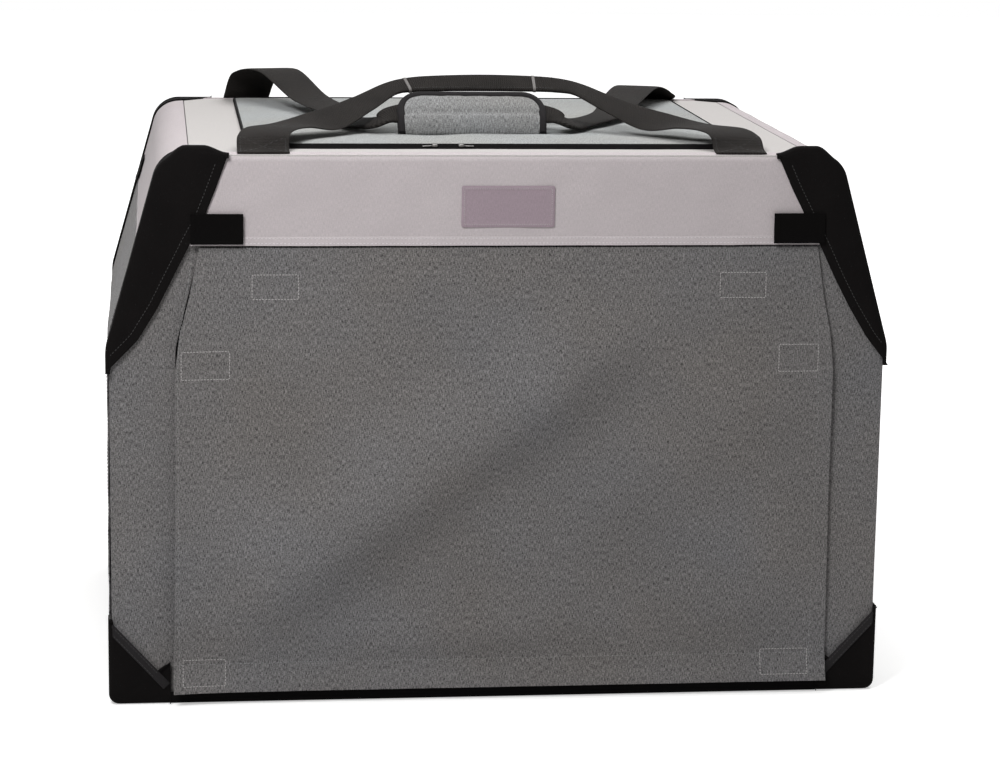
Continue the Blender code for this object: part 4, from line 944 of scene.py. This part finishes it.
# %% Base pieces
BASE_CUT = np.array([(0.3210, 0.0), (0.3210, 0.0425), (0.3322, 0.0325), (0.3810, 0.0860)])
SLANT = unit(BASE_CUT[3] - BASE_CUT[2])
FOOT_R = BEND * 0.75
base_s = np.linspace(0.3210, s_at_z(0.0860), 50)
u, v = grid(np.linspace(-0.0155, 0.0660, 30), np.linspace(0, 1, 6))
TRIM_2D = BASE_CUT[2] + u[..., None] * SLANT + ((v - 1) * 0.0088 + 0.0002)[..., None] * [-SLANT[1], SLANT[0]]
TRIM_2D[..., 0] = np.clip(TRIM_2D[..., 0], 0.3212, 0.3768)
trim_rise = 0.0005 * np.sin(v * math.pi) ** 0.5
arc = np.linspace(0, math.pi / 2, 7)[1:]
rise = np.concatenate([np.linspace(0.012, FOOT_R, 6), FOOT_R * (1 - np.sin(arc)), np.zeros(5)])
y = DEPTH / 2 - np.concatenate([np.zeros(6), FOOT_R * (1 - np.cos(arc)), FOOT_R + np.linspace(0, 0.014, 6)[1:]])
U, R = grid(np.concatenate([[-0.3235, -0.3222], np.linspace(-0.3208, 0.3208, 80), [0.3222, 0.3235]]), np.arange(17))
under = 0.0016 * step_up(np.abs(U), 0.3215, 0.0012)
for end, face in FACES:
    for word, side in SIDES:
        corner = wrapped(f"{end}_{word}_base_corner", BASE_CUT, base_s, np.full(50, 0.018 - BEND), side, face, THIN,
                         0.0003)
        place(corner, f"{end}_frame", f"{end}_base_corner_{word}", cut=0.075)
        cloth(f"{end}_{word}_base_trim", TRIM_2D if side > 0 else (TRIM_2D * MIRROR)[::-1], end, -0.0011, TRIM,
              f"{end}_frame", out=trim_rise, thick=0.0008, cut=(0.0088, 0.0815))
    P = np.stack([U, face * (y[R] - under), rise[R]], -1)
    foot = slab(f"{end}_foot_binding", P, np.stack([U, R * 0.002], -1), THIN, BINDING, turned=face < 0)
    place(foot, f"{end}_frame", f"{end}_base_binding", cut=0.6414)

# %% [markdown]
# ## Base cloth
# Under the floor boards a black cloth closes the bottom and turns a little way up both ends, so no light shows
# between the boards and the end walls.

# %% Base cloth
right = np.linspace(0, s_at_z(0.0122), 40)
section = edge(right, 0.0001)[0]
section = np.concatenate([(section * MIRROR)[:0:-1], section])
run, y = grid(np.concatenate([-right[:0:-1], right]), np.linspace(-0.2480, 0.2480, 40))
P = np.stack([section[:, :1] + 0 * y, y, section[:, 1:] + 0 * y], -1)
base_cloth = slab("base_cloth", P, np.stack([run, y], -1), 0.0010, BINDING, turned=True)
place(base_cloth, "front_frame", squash="base", cut=(0.496, run[-1, 0] - run[0, 0]))

# %% [markdown]
# ## Lid
# The lid is a pale border with a large heather door in it, hinged along the rear. A black zip tape lines the
# opening, and a black binding edges the door, so they read as one dark line in the photograph.

# %% Lid border, door and zip
HOLE = (-0.245, 0.245, -0.2115, 0.2365)
LID_MIDDLE = np.array([0.0, 0.0125])
LID_EDGE, LID_BACK = -0.2109, 0.2359
LID_CORNER, LID_RISE = 0.030, 0.0036
BORDER_X, BORDER_Y = 0.2997, DEPTH / 2 - layer(1) - CLOTH - 0.0003


def lid_curve(d, dx=0.0):
    """The lid opening, d inside it and dx less at the sides, with rounded front corners."""
    r, q = max(LID_CORNER - d, 0.004), 0.004
    return rect(HOLE[0] - dx + d, HOLE[1] + dx - d, HOLE[2] + d, HOLE[3] - d, r, q, q, r)


def lid_ring(name, outer, inner, n, rows, mat, out, body="front_frame", replaces=None, corners=(), **placing):
    P2 = ring(outer, inner, LID_MIDDLE, n, rows, corners)
    out = out(P2) if callable(out) else out
    cloth(name, P2, "top", layer(1), mat, body, replaces, out, wrap=True, **placing)


corners = [(sx * BORDER_X, sy * BORDER_Y) for sx in (-1, 1) for sy in (-1, 1)]
lid_ring("lid_border", rect(-BORDER_X, BORDER_X, -BORDER_Y, BORDER_Y), lid_curve(0), 360, 9, PALE_TOP,
         lambda P2: 0.0006 * (1 + ripple(P2[..., 0], P2[..., 1], 0.14, 6)) * crown(9), replaces="top_border",
         corners=corners, thick=THIN, squash="shell", cut=0.055)

u, v = grid(np.linspace(-1, 1, 90), np.linspace(LID_EDGE, LID_BACK, 80))
over = np.clip(1 - (v - LID_EDGE) / LID_CORNER, 0, 1) ** 2 * 0.995
x = u * (0.2444 - LID_CORNER * (1 - np.sqrt(1 - over)))
sag = 0.0012 * (1 + 0.8 * ripple(x, v, 0.20, 2)) + 0.0005 * ripple(x, v, 0.06, 3)
for inside in ((1 - np.abs(u)) * 8, (v - LID_EDGE) / 0.03, (LID_BACK - v) / 0.03):
    sag = sag * np.clip(inside, 0, 1)
cloth("lid_door", np.stack([x, v], -1), "top", layer(1), HEATHER_TOP, "top_door_body", "top_door", sag + LID_RISE,
      THIN, squash="door", cut=(0.489, 0.447))

t = np.linspace(0, 1, 8)
tape = np.interp(t, [0, 0.3, 0.7, 1], [0.0010, 0.0016, LID_RISE, LID_RISE + 0.0004])
coil = 0.0005 * np.exp(-((t - 0.45) / 0.2) ** 2)
lid_ring("lid_zip_coil", lid_curve(-0.0050, -0.0042), lid_curve(0.0003), 1000, 8, BINDING,
         lambda P2: tape + coil * (-1.0) ** np.arange(len(P2))[:, None], thick=0.0009, squash="lid", cut=0.0068)
lid_ring("lid_door_binding", lid_curve(0.0007), lid_curve(0.0042, 0.0025), 360, 5, BINDING,
         LID_RISE + 0.0007 + 0.0004 * crown(5), "top_door_body", thick=0.0009, squash="door", cut=0.0035)

# %% [markdown]
# ## Webbing straps
# Two 50 mm straps are sewn to the lid near its corners. Each is a path of stations, and a station holds the middle
# of the strap, the direction of its width, its width and its thickness. A smooth curve through the stations carries
# a thin rounded section. In the middle each strap is folded double to 25 mm, which makes the hand grip.

# %% Swept sections
def through(stations, steps):
    """Catmull-Rom curve through rows of numbers: each stretch is a cubic fixed by its four neighbours."""
    r = np.array(stations, dtype=float)
    r = np.concatenate([r[:1], r, r[-1:]])
    t = np.linspace(0, 1, steps, endpoint=False)[None, :, None]
    a, b, c, d = (r[k:len(r) - 3 + k][:, None, :] for k in range(4))
    out = 0.5 * (2 * b + (c - a) * t + (2 * a - 5 * b + 4 * c - d) * t ** 2 + (3 * b - a - 3 * c + d) * t ** 3)
    return np.concatenate([out.reshape(-1, r.shape[1]), r[-2:-1]])


def soft_pow(x, power):
    """|x| to that power, with the sign of x."""
    return np.sign(x) * np.abs(x) ** power


def tube_faces(nu, nv):
    """Quads round a swept section, and caps of quads at its two ends."""
    k = np.arange(nv // 2 - 1)
    cap = np.stack([k, k + 1, nv - 2 - k, nv - 1 - k], -1)
    return np.concatenate([quads(nu, nv, tube=True), cap, cap[:, ::-1] + (nu - 1) * nv])


def swept(name, C, W, N, half_w, half_t, mat, around=20, power=(0.30, 0.75)):
    """Section cos^p across and sin^q through, carried along centres C with unit directions W and N."""
    t = np.linspace(0, 2 * math.pi, around, endpoint=False) + math.pi / around
    half_w, half_t = (np.broadcast_to(h, len(C))[:, None] for h in (half_w, half_t))
    a, b = half_w * soft_pow(np.cos(t), power[0]), half_t * soft_pow(np.sin(t), power[1])
    P = C[:, None] + W[:, None] * a[..., None] + N[:, None] * b[..., None]
    F = tube_faces(len(C), around)
    if np.einsum("ij,ij->i", np.cross(W, N), np.gradient(C, axis=0)).sum() > 0:
        F = F[:, ::-1]
    uv = np.stack([np.broadcast_to(run_of(C)[:, None], a.shape), a], -1)
    return make(name, P.reshape(-1, 3), F, uv.reshape(-1, 2), mat, 60)


# %% Straps
STRAP_X, WEB, TH, GRIP = 0.230, 0.050, 0.0024, 0.025
ON_TOP = HEIGHT - layer(1) + 0.0003 + TH / 2
PAD = np.array([-0.017, -DEPTH / 2 + 0.1505, HEIGHT + 0.0230])
PAD_TILT, PAD_L, PAD_H = math.radians(46.0), 0.150, 0.048
# Front strap, left half: x, distance behind the front, height over the lid, width direction, width, thickness.
FRONT = [(-STRAP_X, 0.0055, ON_TOP - HEIGHT, 1, 0, 0, WEB, TH),
         (-STRAP_X, 0.020, ON_TOP + 0.0024 - HEIGHT, 1, 0, 0, WEB, TH),
         (-0.229, 0.0350, 0.0120, 1, -0.02, 0.05, WEB, TH),
         (-0.221, 0.0600, 0.0165, 0.97, -0.22, 0, WEB, TH),
         (-0.197, 0.0980, 0.0160, 0.75, -0.66, -0.02, 0.047, TH),
         (-0.163, 0.1300, 0.0175, 0.50, -0.80, -0.34, 0.043, TH),
         (-0.127, 0.1610, 0.0300, 0.28, -0.88, -0.34, 0.034, TH),
         (-0.097, 0.1865, 0.0425, 0.12, -0.90, -0.34, 0.026, 1.6 * TH),
         (-0.074, 0.1945, 0.0465, 0.02, -0.88, -0.44, GRIP, 2 * TH),
         (-0.045, 0.1950, 0.0480, 0, -0.86, -0.50, GRIP, 2 * TH),
         (0, 0.1965, 0.0485, 0, -0.84, -0.54, GRIP, 2 * TH)]


def rear_half(side, hump, fall):
    """Half of the rear strap, from its sewn end on the lid, over a hump that falls to the rear, to the grip."""
    s, b, (_, py, pz) = -side, DEPTH / 2, PAD
    x = side * PAD_L / 2 + PAD[0]
    return [(side * STRAP_X, b - 0.0055, ON_TOP, s, 0, 0, WEB, TH),
            (side * STRAP_X, b - 0.018, ON_TOP + 0.0036, s, 0, 0, WEB, TH),
            (side * 0.221, b - 0.0445, HEIGHT + fall * hump, s, 0, 0, WEB, TH),
            (side * 0.198, b - 0.0965, HEIGHT + hump, 0.93 * s, 0.35, 0, 0.048, TH),
            (side * 0.168, b - 0.1815, HEIGHT + 0.0170, 0.80 * s, 0.60, 0.05, 0.044, TH),
            (side * 0.139, py + 0.106, HEIGHT + 0.0110, 0.60 * s, 0.75, 0.05, 0.036, TH),
            (side * 0.118 + PAD[0], py + 0.040, HEIGHT + 0.0095, 0.30 * s, 0.90, 0.10, 0.028, 1.5 * TH),
            (x + side * 0.022, py - 0.003, pz - 0.0095, 0.05 * s, 0.93, 0.20, 0.023, 2 * TH),
            (x + side * 0.004, py - 0.001, pz - 0.0020, 0, 0.80, 0.55, 0.024, 2 * TH),
            (x - side * 0.030, py, pz, 0, math.cos(PAD_TILT), math.sin(PAD_TILT), GRIP, 2 * TH)]


front = [(x, y - DEPTH / 2, z + HEIGHT, *rest) for x, y, z, *rest in FRONT]
front += [(-x, y, z, -w, *rest) for x, y, z, w, *rest in front[-2::-1]]
STRAPS = {}
for end, stations in (("front", front), ("rear", rear_half(-1, 0.038, 0.75) + rear_half(1, 0.022, 0.40)[::-1])):
    rows = through(stations, 12)
    C, W = rows[:, :3], rows[:, 3:6]
    T = unit(np.gradient(C, axis=0))
    W = unit(W - T * np.einsum("ij,ij->i", W, T)[:, None])
    STRAPS[end] = C, W, np.cross(T, W), rows[:, 6:] / 2
    strap = swept(f"{end}_webbing_strap", *STRAPS[end][:3], *STRAPS[end][3].T, WEBBING)
    place(strap, f"{end}_handle", f"{end}_strap", f"{end}_strap")

# %% [markdown]
# ## Zip pulls
# Two dark nickel pulls lie near the middle of the lid's front edge. Each is one swept form: a slider body on the
# coil, a thin neck and a flat tab that lies along the zip.

# %% Lid zip pulls
run = 0.7 * np.array([0, 4, 12, 62, 78, 84, 94, 100, 108, 205, 215, 220]) / 1e4
wide = 0.75 * np.array([3, 18, 26, 22, 14, 7, 7, 13, 21, 21, 15, 3]) / 1e4
deep = np.array([3, 12, 16, 16, 12, 5, 5, 6, 6, 6, 6, 2]) / 1e4
for word, x, way in (("left", -0.060, -1), ("right", -0.040, 1)):
    height = HEIGHT + 0.0014 - 0.10 * np.clip(run - 0.005, 0, 0.005)
    C = np.stack([x + way * run, 0 * run + HOLE[2] - 0.0024, height], -1)
    pull = swept(f"lid_zip_pull_{word}", C, np.tile([0.0, 1.0, 0.0], (12, 1)), np.tile([0.0, 0.0, 1.0], (12, 1)),
                 wide, deep, GUNMETAL, 16, (0.7, 0.7))
    place(pull, "front_frame", squash="shell")

# %% [markdown]
# ## Padded grip
# The rear strap passes through a padded sleeve, quilted by one seam along its middle and bound in black. It is a
# closed crowned form: the section is a rounded oval, pinched by the seam into two lobes, and it draws in towards
# the ends. The binding is an oval section carried round the sleeve's edge.

# %% Grip
ARCH, SEAM, INSET = 0.024, -0.004, 0.0042


def pad_point(x, v, n):
    """Sleeve coordinates (along, up, out) in space: PAD + x X + v (0, cos, sin) + n (0, -sin, cos)."""
    c, s = math.cos(PAD_TILT), math.sin(PAD_TILT)
    return np.stack([PAD[0] + x + 0 * v, PAD[1] + v * c - n * s, PAD[2] + v * s + n * c], -1)


def arch_top(x, inset):
    """Upper edge of the sleeve: level, with round corners of radius ARCH."""
    over = np.clip(np.abs(x) - (PAD_L / 2 - ARCH), 0, ARCH - inset)
    return PAD_H / 2 - ARCH + np.sqrt(np.maximum((ARCH - inset) ** 2 - over ** 2, 0))


def droop(v):
    """Below the seam the sleeve bends down towards the lid."""
    return -14.0 * np.clip(SEAM - v, 0, None) ** 2


xs = np.sin(np.linspace(-math.pi / 2, math.pi / 2, 90))[:, None]
ends = (1 - np.abs(xs) ** 7) ** 0.5
t = np.linspace(0, 2 * math.pi, 72, endpoint=False) + math.pi / 72
vh, nh = soft_pow(np.cos(t), 0.80), soft_pow(np.sin(t), 0.85)
x = np.broadcast_to(xs * (PAD_L / 2 - 0.002), (90, 72))
high, low = arch_top(x, 0.0015), -PAD_H / 2 + 0.0005
v = (high + low) / 2 + vh * (high - low) / 2
pinch = 0.0032 * np.exp(-((v - SEAM) / 0.0016) ** 2) * ends
n = nh * (0.0072 * (0.35 + 0.65 * ends) - pinch) + droop(v) + 0.0005 * ripple(x, v, 0.035, 4) * np.sign(nh)
grip = make("grip_sleeve", pad_point(x, v, n).reshape(-1, 3), tube_faces(90, 72)[:, [0, 3, 2, 1]],
            np.stack([x, v], -1).reshape(-1, 2), HEATHER_PAD, 75)
place(grip, "rear_handle", "grip_pad", "rear_strap")

half_l, radius = PAD_L / 2 - INSET, ARCH - INSET
t = np.linspace(0, math.pi / 2, 14)
corner = np.stack([half_l - radius * (1 - np.cos(t)), PAD_H / 2 - ARCH + radius * np.sin(t)], -1)
path = follow(mirrored(np.concatenate([[(half_l, -PAD_H / 2 + 0.0005)], corner])), 150)
C = pad_point(path[:, 0], path[:, 1], droop(path[:, 1]))
N = np.tile(pad_point(0.0, 0.0, 1.0) - PAD, (150, 1))
W = np.cross(unit(np.gradient(C, axis=0)), N)
grip_edge = swept("grip_binding", C, W, N, 0.0043, 0.0062, TRIM, 20, (0.7, 0.8))
place(grip_edge, "rear_handle", squash="rear_strap")
C, W, N, half = STRAPS["front"]
for word, x in (("left", -0.0785), ("right", 0.0495)):
    k = int(np.argmin(np.abs(C[:, 0] - x)))
    run = np.linspace(-1, 1, 6)[:, None] * 0.0014 * unit(C[k + 1] - C[k])
    keeper = swept(f"front_{word}_bar_tack", C[k] + run, np.tile(W[k], (6, 1)), np.tile(N[k], (6, 1)),
                   half[k, 0] + 0.0004, half[k, 1] + 0.0005, TACK_THREAD)
    place(keeper, "front_handle", squash="front_strap")

# %% [markdown]
# ## Stitches
# Every hem and seam is sewn, and the rows of stitches are what makes the cloth look made rather than cut. One
# stitch is a sliver with sixteen faces. A row is sampled at a fixed pitch on the flat pattern and laid on the crate
# as the sheet itself was, so it follows the cloth.

# %% Stitch rows
def sewn(name, starts, stops, up, mat, body, squash=None, wide=0.00028):
    """Slivers from starts to stops: two points and two rings of four, standing on the direction up."""
    L = np.linalg.norm(stops - starts, axis=1, keepdims=True)
    T = (stops - starts) / L
    B = unit(np.cross(up, T))
    U = np.cross(T, B)
    star = ((1, 0), (0, 1), (-1, 0), (0, -1))
    q = np.array([(-0.5, 0, 0)] + [(p, wide * b, wide * 0.8 * w) for p in (-0.3, 0.3) for b, w in star] + [(0.5, 0, 0)])
    V = ((starts + stops) / 2)[:, None] + T[:, None] * (L * q[:, 0])[..., None] + B[:, None] * q[:, 1:2] \
        + U[:, None] * q[:, 2:]
    tri = []
    for k in range(4):
        a, b, c, d = 1 + k, 1 + (k + 1) % 4, 5 + k, 5 + (k + 1) % 4
        tri += [(0, b, a), (9, c, d), (a, b, d), (a, d, c)]
    V, F = V.reshape(-1, 3), (np.array(tri) + 10 * np.arange(len(T))[:, None, None]).reshape(-1, 3)
    return place(make(name, V, F, V[:, [0, 2]], mat, 80), body, squash=squash,
                 slot="black_cloth" if mat is BLACK_THREAD else "light_cloth")


def seam(name, lines, where, depth, out, mat, body, squash=None, pitch=0.0036, share=0.66, wide=0.00028):
    """Stitches along flat lines laid on a face; out is how far the cloth stands out, a number or a function."""
    ends = ([], [])
    for line in lines:
        line = np.asarray(line, dtype=float)
        d = run_of(line)
        at = np.arange(pitch / 2, d[-1], pitch)
        for keep, shift in zip(ends, (-0.5, 0.5)):
            keep.append(at_run(np.clip(at + shift * pitch * share, 0, d[-1]), d, line))
    starts, stops = (np.concatenate(e) for e in ends)
    height = (lambda p: out(*p.T)) if callable(out) else (lambda p: out)
    a, b = (lay(p, where, depth, height(p))[0] for p in (starts, stops))
    return sewn(name, a, b, lay(starts, where, depth, height(starts) + 0.001)[0] - a, mat, body, squash, wide)


def box_line(x0, x1, y0, y1):
    return [(x0, y0), (x1, y0), (x1, y1), (x0, y1), (x0, y0)]


def hem_rows(half, low):
    """The two rows of stitches of a band's hem."""
    return [[(-half, low + h), (half, low + h)] for h in (0.0022, 0.0070)]


def band_out(x, z):
    return 0.00045 + 0.0004 * ripple(x, z, 0.09, 5) + hem_kick(z - BAND_LOW, x)


def end_band_out(y, s):
    return 0.0008 + 0.0003 * ripple(y, s, 0.1, 8)


for end in ("front", "rear"):
    seam(f"{end}_band_stitches", hem_rows(0.345, BAND_LOW), end, layer(1), band_out, PALE_THREAD, f"{end}_frame")
seam("label_stitches", [box_line(-0.0387, 0.0457, 0.4718, 0.5062)], "front", LABEL_DEPTH, 0.00045, GREY_THREAD,
     "front_frame", pitch=0.0022, wide=0.00022)

MARKS = [box_line(-0.2413, -0.197, 0.400, 0.4236), box_line(-0.309, -0.263, 0.323, 0.350),
         box_line(0.212, 0.257, 0.400, 0.4245), box_line(0.272, 0.311, 0.327, 0.3535),
         box_line(-0.309, -0.268, 0.0197, 0.045), box_line(0.263, 0.3105, 0.020, 0.0443)]
zs = np.linspace(0.02, FLAP_TOP - 0.004, 60)
HEMS = [np.stack([s * (flap_half(zs) - 0.007), zs], -1) for s in (-1, 1)] + [[(-0.316, 0.0405), (0.316, 0.0405)]]


def front_out(x, z):
    return front_fullness(x, z) + 0.00012


seam("front_flap_marks", MARKS, "front", layer(1), front_out, GREY_THREAD, "front_flap_body", None, 0.0030, 0.82,
     0.00034)
seam("front_flap_hems", HEMS, "front", layer(1), front_out, HEATHER_PAD, "front_flap_body")
seam("rear_flap_hems", HEMS + MARKS, "rear", layer(1), lambda x, z: plain_fullness(x, z, FLAP_TOP, 2) + 0.0005,
     HEATHER_PAD, "rear_flap_body")
lo, hi = FLAP_S
end_hems = [[(y, lo + 0.004), (y, hi - 0.004)] for y in (-0.205, 0.205)]
end_hems += [[(-0.205, lo + 0.0275), (0.205, lo + 0.0275)]]
for side, seed in END_FLAPS:
    seam(f"{side}_flap_hems", end_hems, side, layer(1), lambda y, s: plain_fullness(y, s, hi, seed) + 0.0004,
         HEATHER_PAD, f"{side}_flap_body", "flap")
    seam(f"{side}_band_stitches", hem_rows(INSIDE - 0.01, BAND_S[0]), side, layer(1), end_band_out, PALE_THREAD,
         "front_frame", "shell")

# %% Stitches on the black pieces and straps
def beside(line, d):
    """A polyline moved d to its left, as far as it stays on the face."""
    tangent = unit(np.gradient(line, axis=0))
    moved = line + d * np.stack([-tangent[:, 1], tangent[:, 0]], -1)
    return moved[(moved[:, 0] < half_width(moved[:, 1]) - 0.005) & (moved[:, 1] < 0.531)]


for end in ("front", "rear"):
    slant = np.linspace(BASE_CUT[2], BASE_CUT[3], 60)
    sides = (("left", (-1, 1)), ("right", (1, 1)))
    covers = [beside(cover_edge(end, word), 0.0085) * flip for word, flip in sides]
    trims = [beside(slant, d) * flip for _, flip in sides for d in (-0.0018, -0.0070)]
    seam(f"{end}_cover_stitches", covers, end, 0.0, 0.0006, BLACK_THREAD, f"{end}_frame")
    seam(f"{end}_base_trim_stitches", trims, end, 0.0, 0.0015, BLACK_THREAD, f"{end}_frame")


def strap_seam(name, end, spans, rows, wide, pitch=0.0032):
    """Stitches along a strap: spans are (first, last) fractions of its length, rows (first, last) fractions of its
    half width."""
    C, W, N, half = STRAPS[end]
    run = run_of(C)
    flip = 1.0 if N[len(N) // 2, 2] > 0 else -1.0
    starts, stops, ups = [], [], []
    for lo, hi in run[-1] * np.array(spans):
        for a0, a1 in rows:
            at = np.arange(lo, hi, pitch)
            for keep, shift in ((starts, -0.33), (stops, 0.33)):
                w = at + shift * pitch
                c, across, out, h = (at_run(w, run, m) for m in (C, W, N, half))
                side = a0 + (a1 - a0) * (w - lo) / (hi - lo)
                keep.append(c + across * (h[:, 0] * side)[:, None] + out * ((h[:, 1] + 0.00005) * flip)[:, None])
            ups.append(out * flip)
    sewn(name, *map(np.concatenate, (starts, stops, ups)), BLACK_THREAD, f"{end}_handle", f"{end}_strap", wide)


for end in ("front", "rear"):
    strap_seam(f"{end}_strap_stitches", end, [(0.004, 0.045), (0.955, 0.996)],
               [(-0.86, -0.86), (0.86, 0.86), (-0.86, 0.86), (0.86, -0.86)], 0.0002)
strap_seam("front_grip_stitches", "front", [(0.395, 0.605)], [(-0.8, -0.8), (0.8, 0.8)], 0.00035)

# %% [markdown]
# ## Floor, background and lamps
# The background is white because the world and the floor are white to camera rays, and to the rays that a shiny or
# clear surface sends on. The crate itself is lit at a plain level: soft light all round, a broad lamp overhead, as
# the lid is the lightest side in the photograph, and a small lamp from the front left, which shows the folds.

# %% Floor, world and lamps
def light_path(g):
    return g.add("LightPath").node.outputs


def background(strength):
    """World: white to camera, glossy and transmission rays, warm grey light of that strength to the rest."""
    world = bpy.data.worlds.new("studio")
    bpy.context.scene.world = world
    g = Nodes(world)
    path = light_path(g)
    seen = g.math("MAXIMUM", path["Is Camera Ray"], path["Is Transmission Ray"])
    seen = g.math("MAXIMUM", seen, path["Is Glossy Ray"])
    tint = g.mix(seen, (1.04, 1.0, 0.94, 1), (1, 1, 1, 1))
    g.add("OutputWorld", i0=g.add("Background", Color=tint, Strength=g.ramp(seen, 0.0, 1.0, strength, 1.0)))


def lamp(name, at, aim, size, factor):
    """A square area lamp that gives a white surface facing it, at the aim, a brightness of factor."""
    light = bpy.data.lights.new(name, "AREA")
    at, aim = np.array(at, dtype=float), np.array(aim, dtype=float)
    light.size = size
    light.energy = factor * math.pi ** 2 * float(((at - aim) ** 2).sum())
    obj = bpy.data.objects.new(name, light)
    bpy.context.scene.collection.objects.link(obj)
    back = unit(at - aim)
    right = unit(np.cross((0, 1, 0) if abs(back[2]) > 0.9 else (0, 0, 1), back))
    obj.matrix_world = pose(np.stack([right, np.cross(back, right), back], 1), at)


background(0.11)
lamp("overhead", (0.6, 0.4, 2.9), (0, 0, 0.4), 2.2, 0.95)
lamp("front_key", (-0.8, -1.35, 1.8), (0, -0.25, 0.25), 0.6, 0.80)

FLOOR_HALF, FLOOR_Z = 9.0, -0.0004
g = graph("floor_white")
path = light_path(g)
seen = g.math("MAXIMUM", path["Is Camera Ray"], path["Is Glossy Ray"])
reach = g.add("VectorMath", 1, {"operation": "LENGTH"}, i0=g.add("TexCoord", 3))
glow = g.math("MULTIPLY", seen, g.ramp(reach, 0.4, 2.4, 0.45, 1.0))
white = g.mix(g.ramp(reach, 0.0, FLOOR_HALF), (0.82, 0.82, 0.82, 1), (0.78, 0.78, 0.78, 1))
g.add("OutputMaterial", i0=g.add("BsdfPrincipled", Base_Color=white, Roughness=0.9, Emission_Color=(1, 1, 1, 1),
                                 Emission_Strength=glow))
floor_mesh = bpy.data.meshes.new("studio_floor")
floor_mesh.from_pydata([(x * FLOOR_HALF, y * FLOOR_HALF, FLOOR_Z) for x, y in ((-1, -1), (1, -1), (1, 1), (-1, 1))],
                       [], [(0, 1, 2, 3)])
floor_mesh.materials.append(g.owner)
floor = bpy.data.objects.new("studio_floor", floor_mesh)
bpy.context.scene.collection.objects.link(floor)
bpy.context.scene.view_settings.view_transform = "Standard"

# %% [markdown]
# ## Update
# The scene is brought up to date at the end.

# %% Update the scene
bpy.context.view_layer.update()
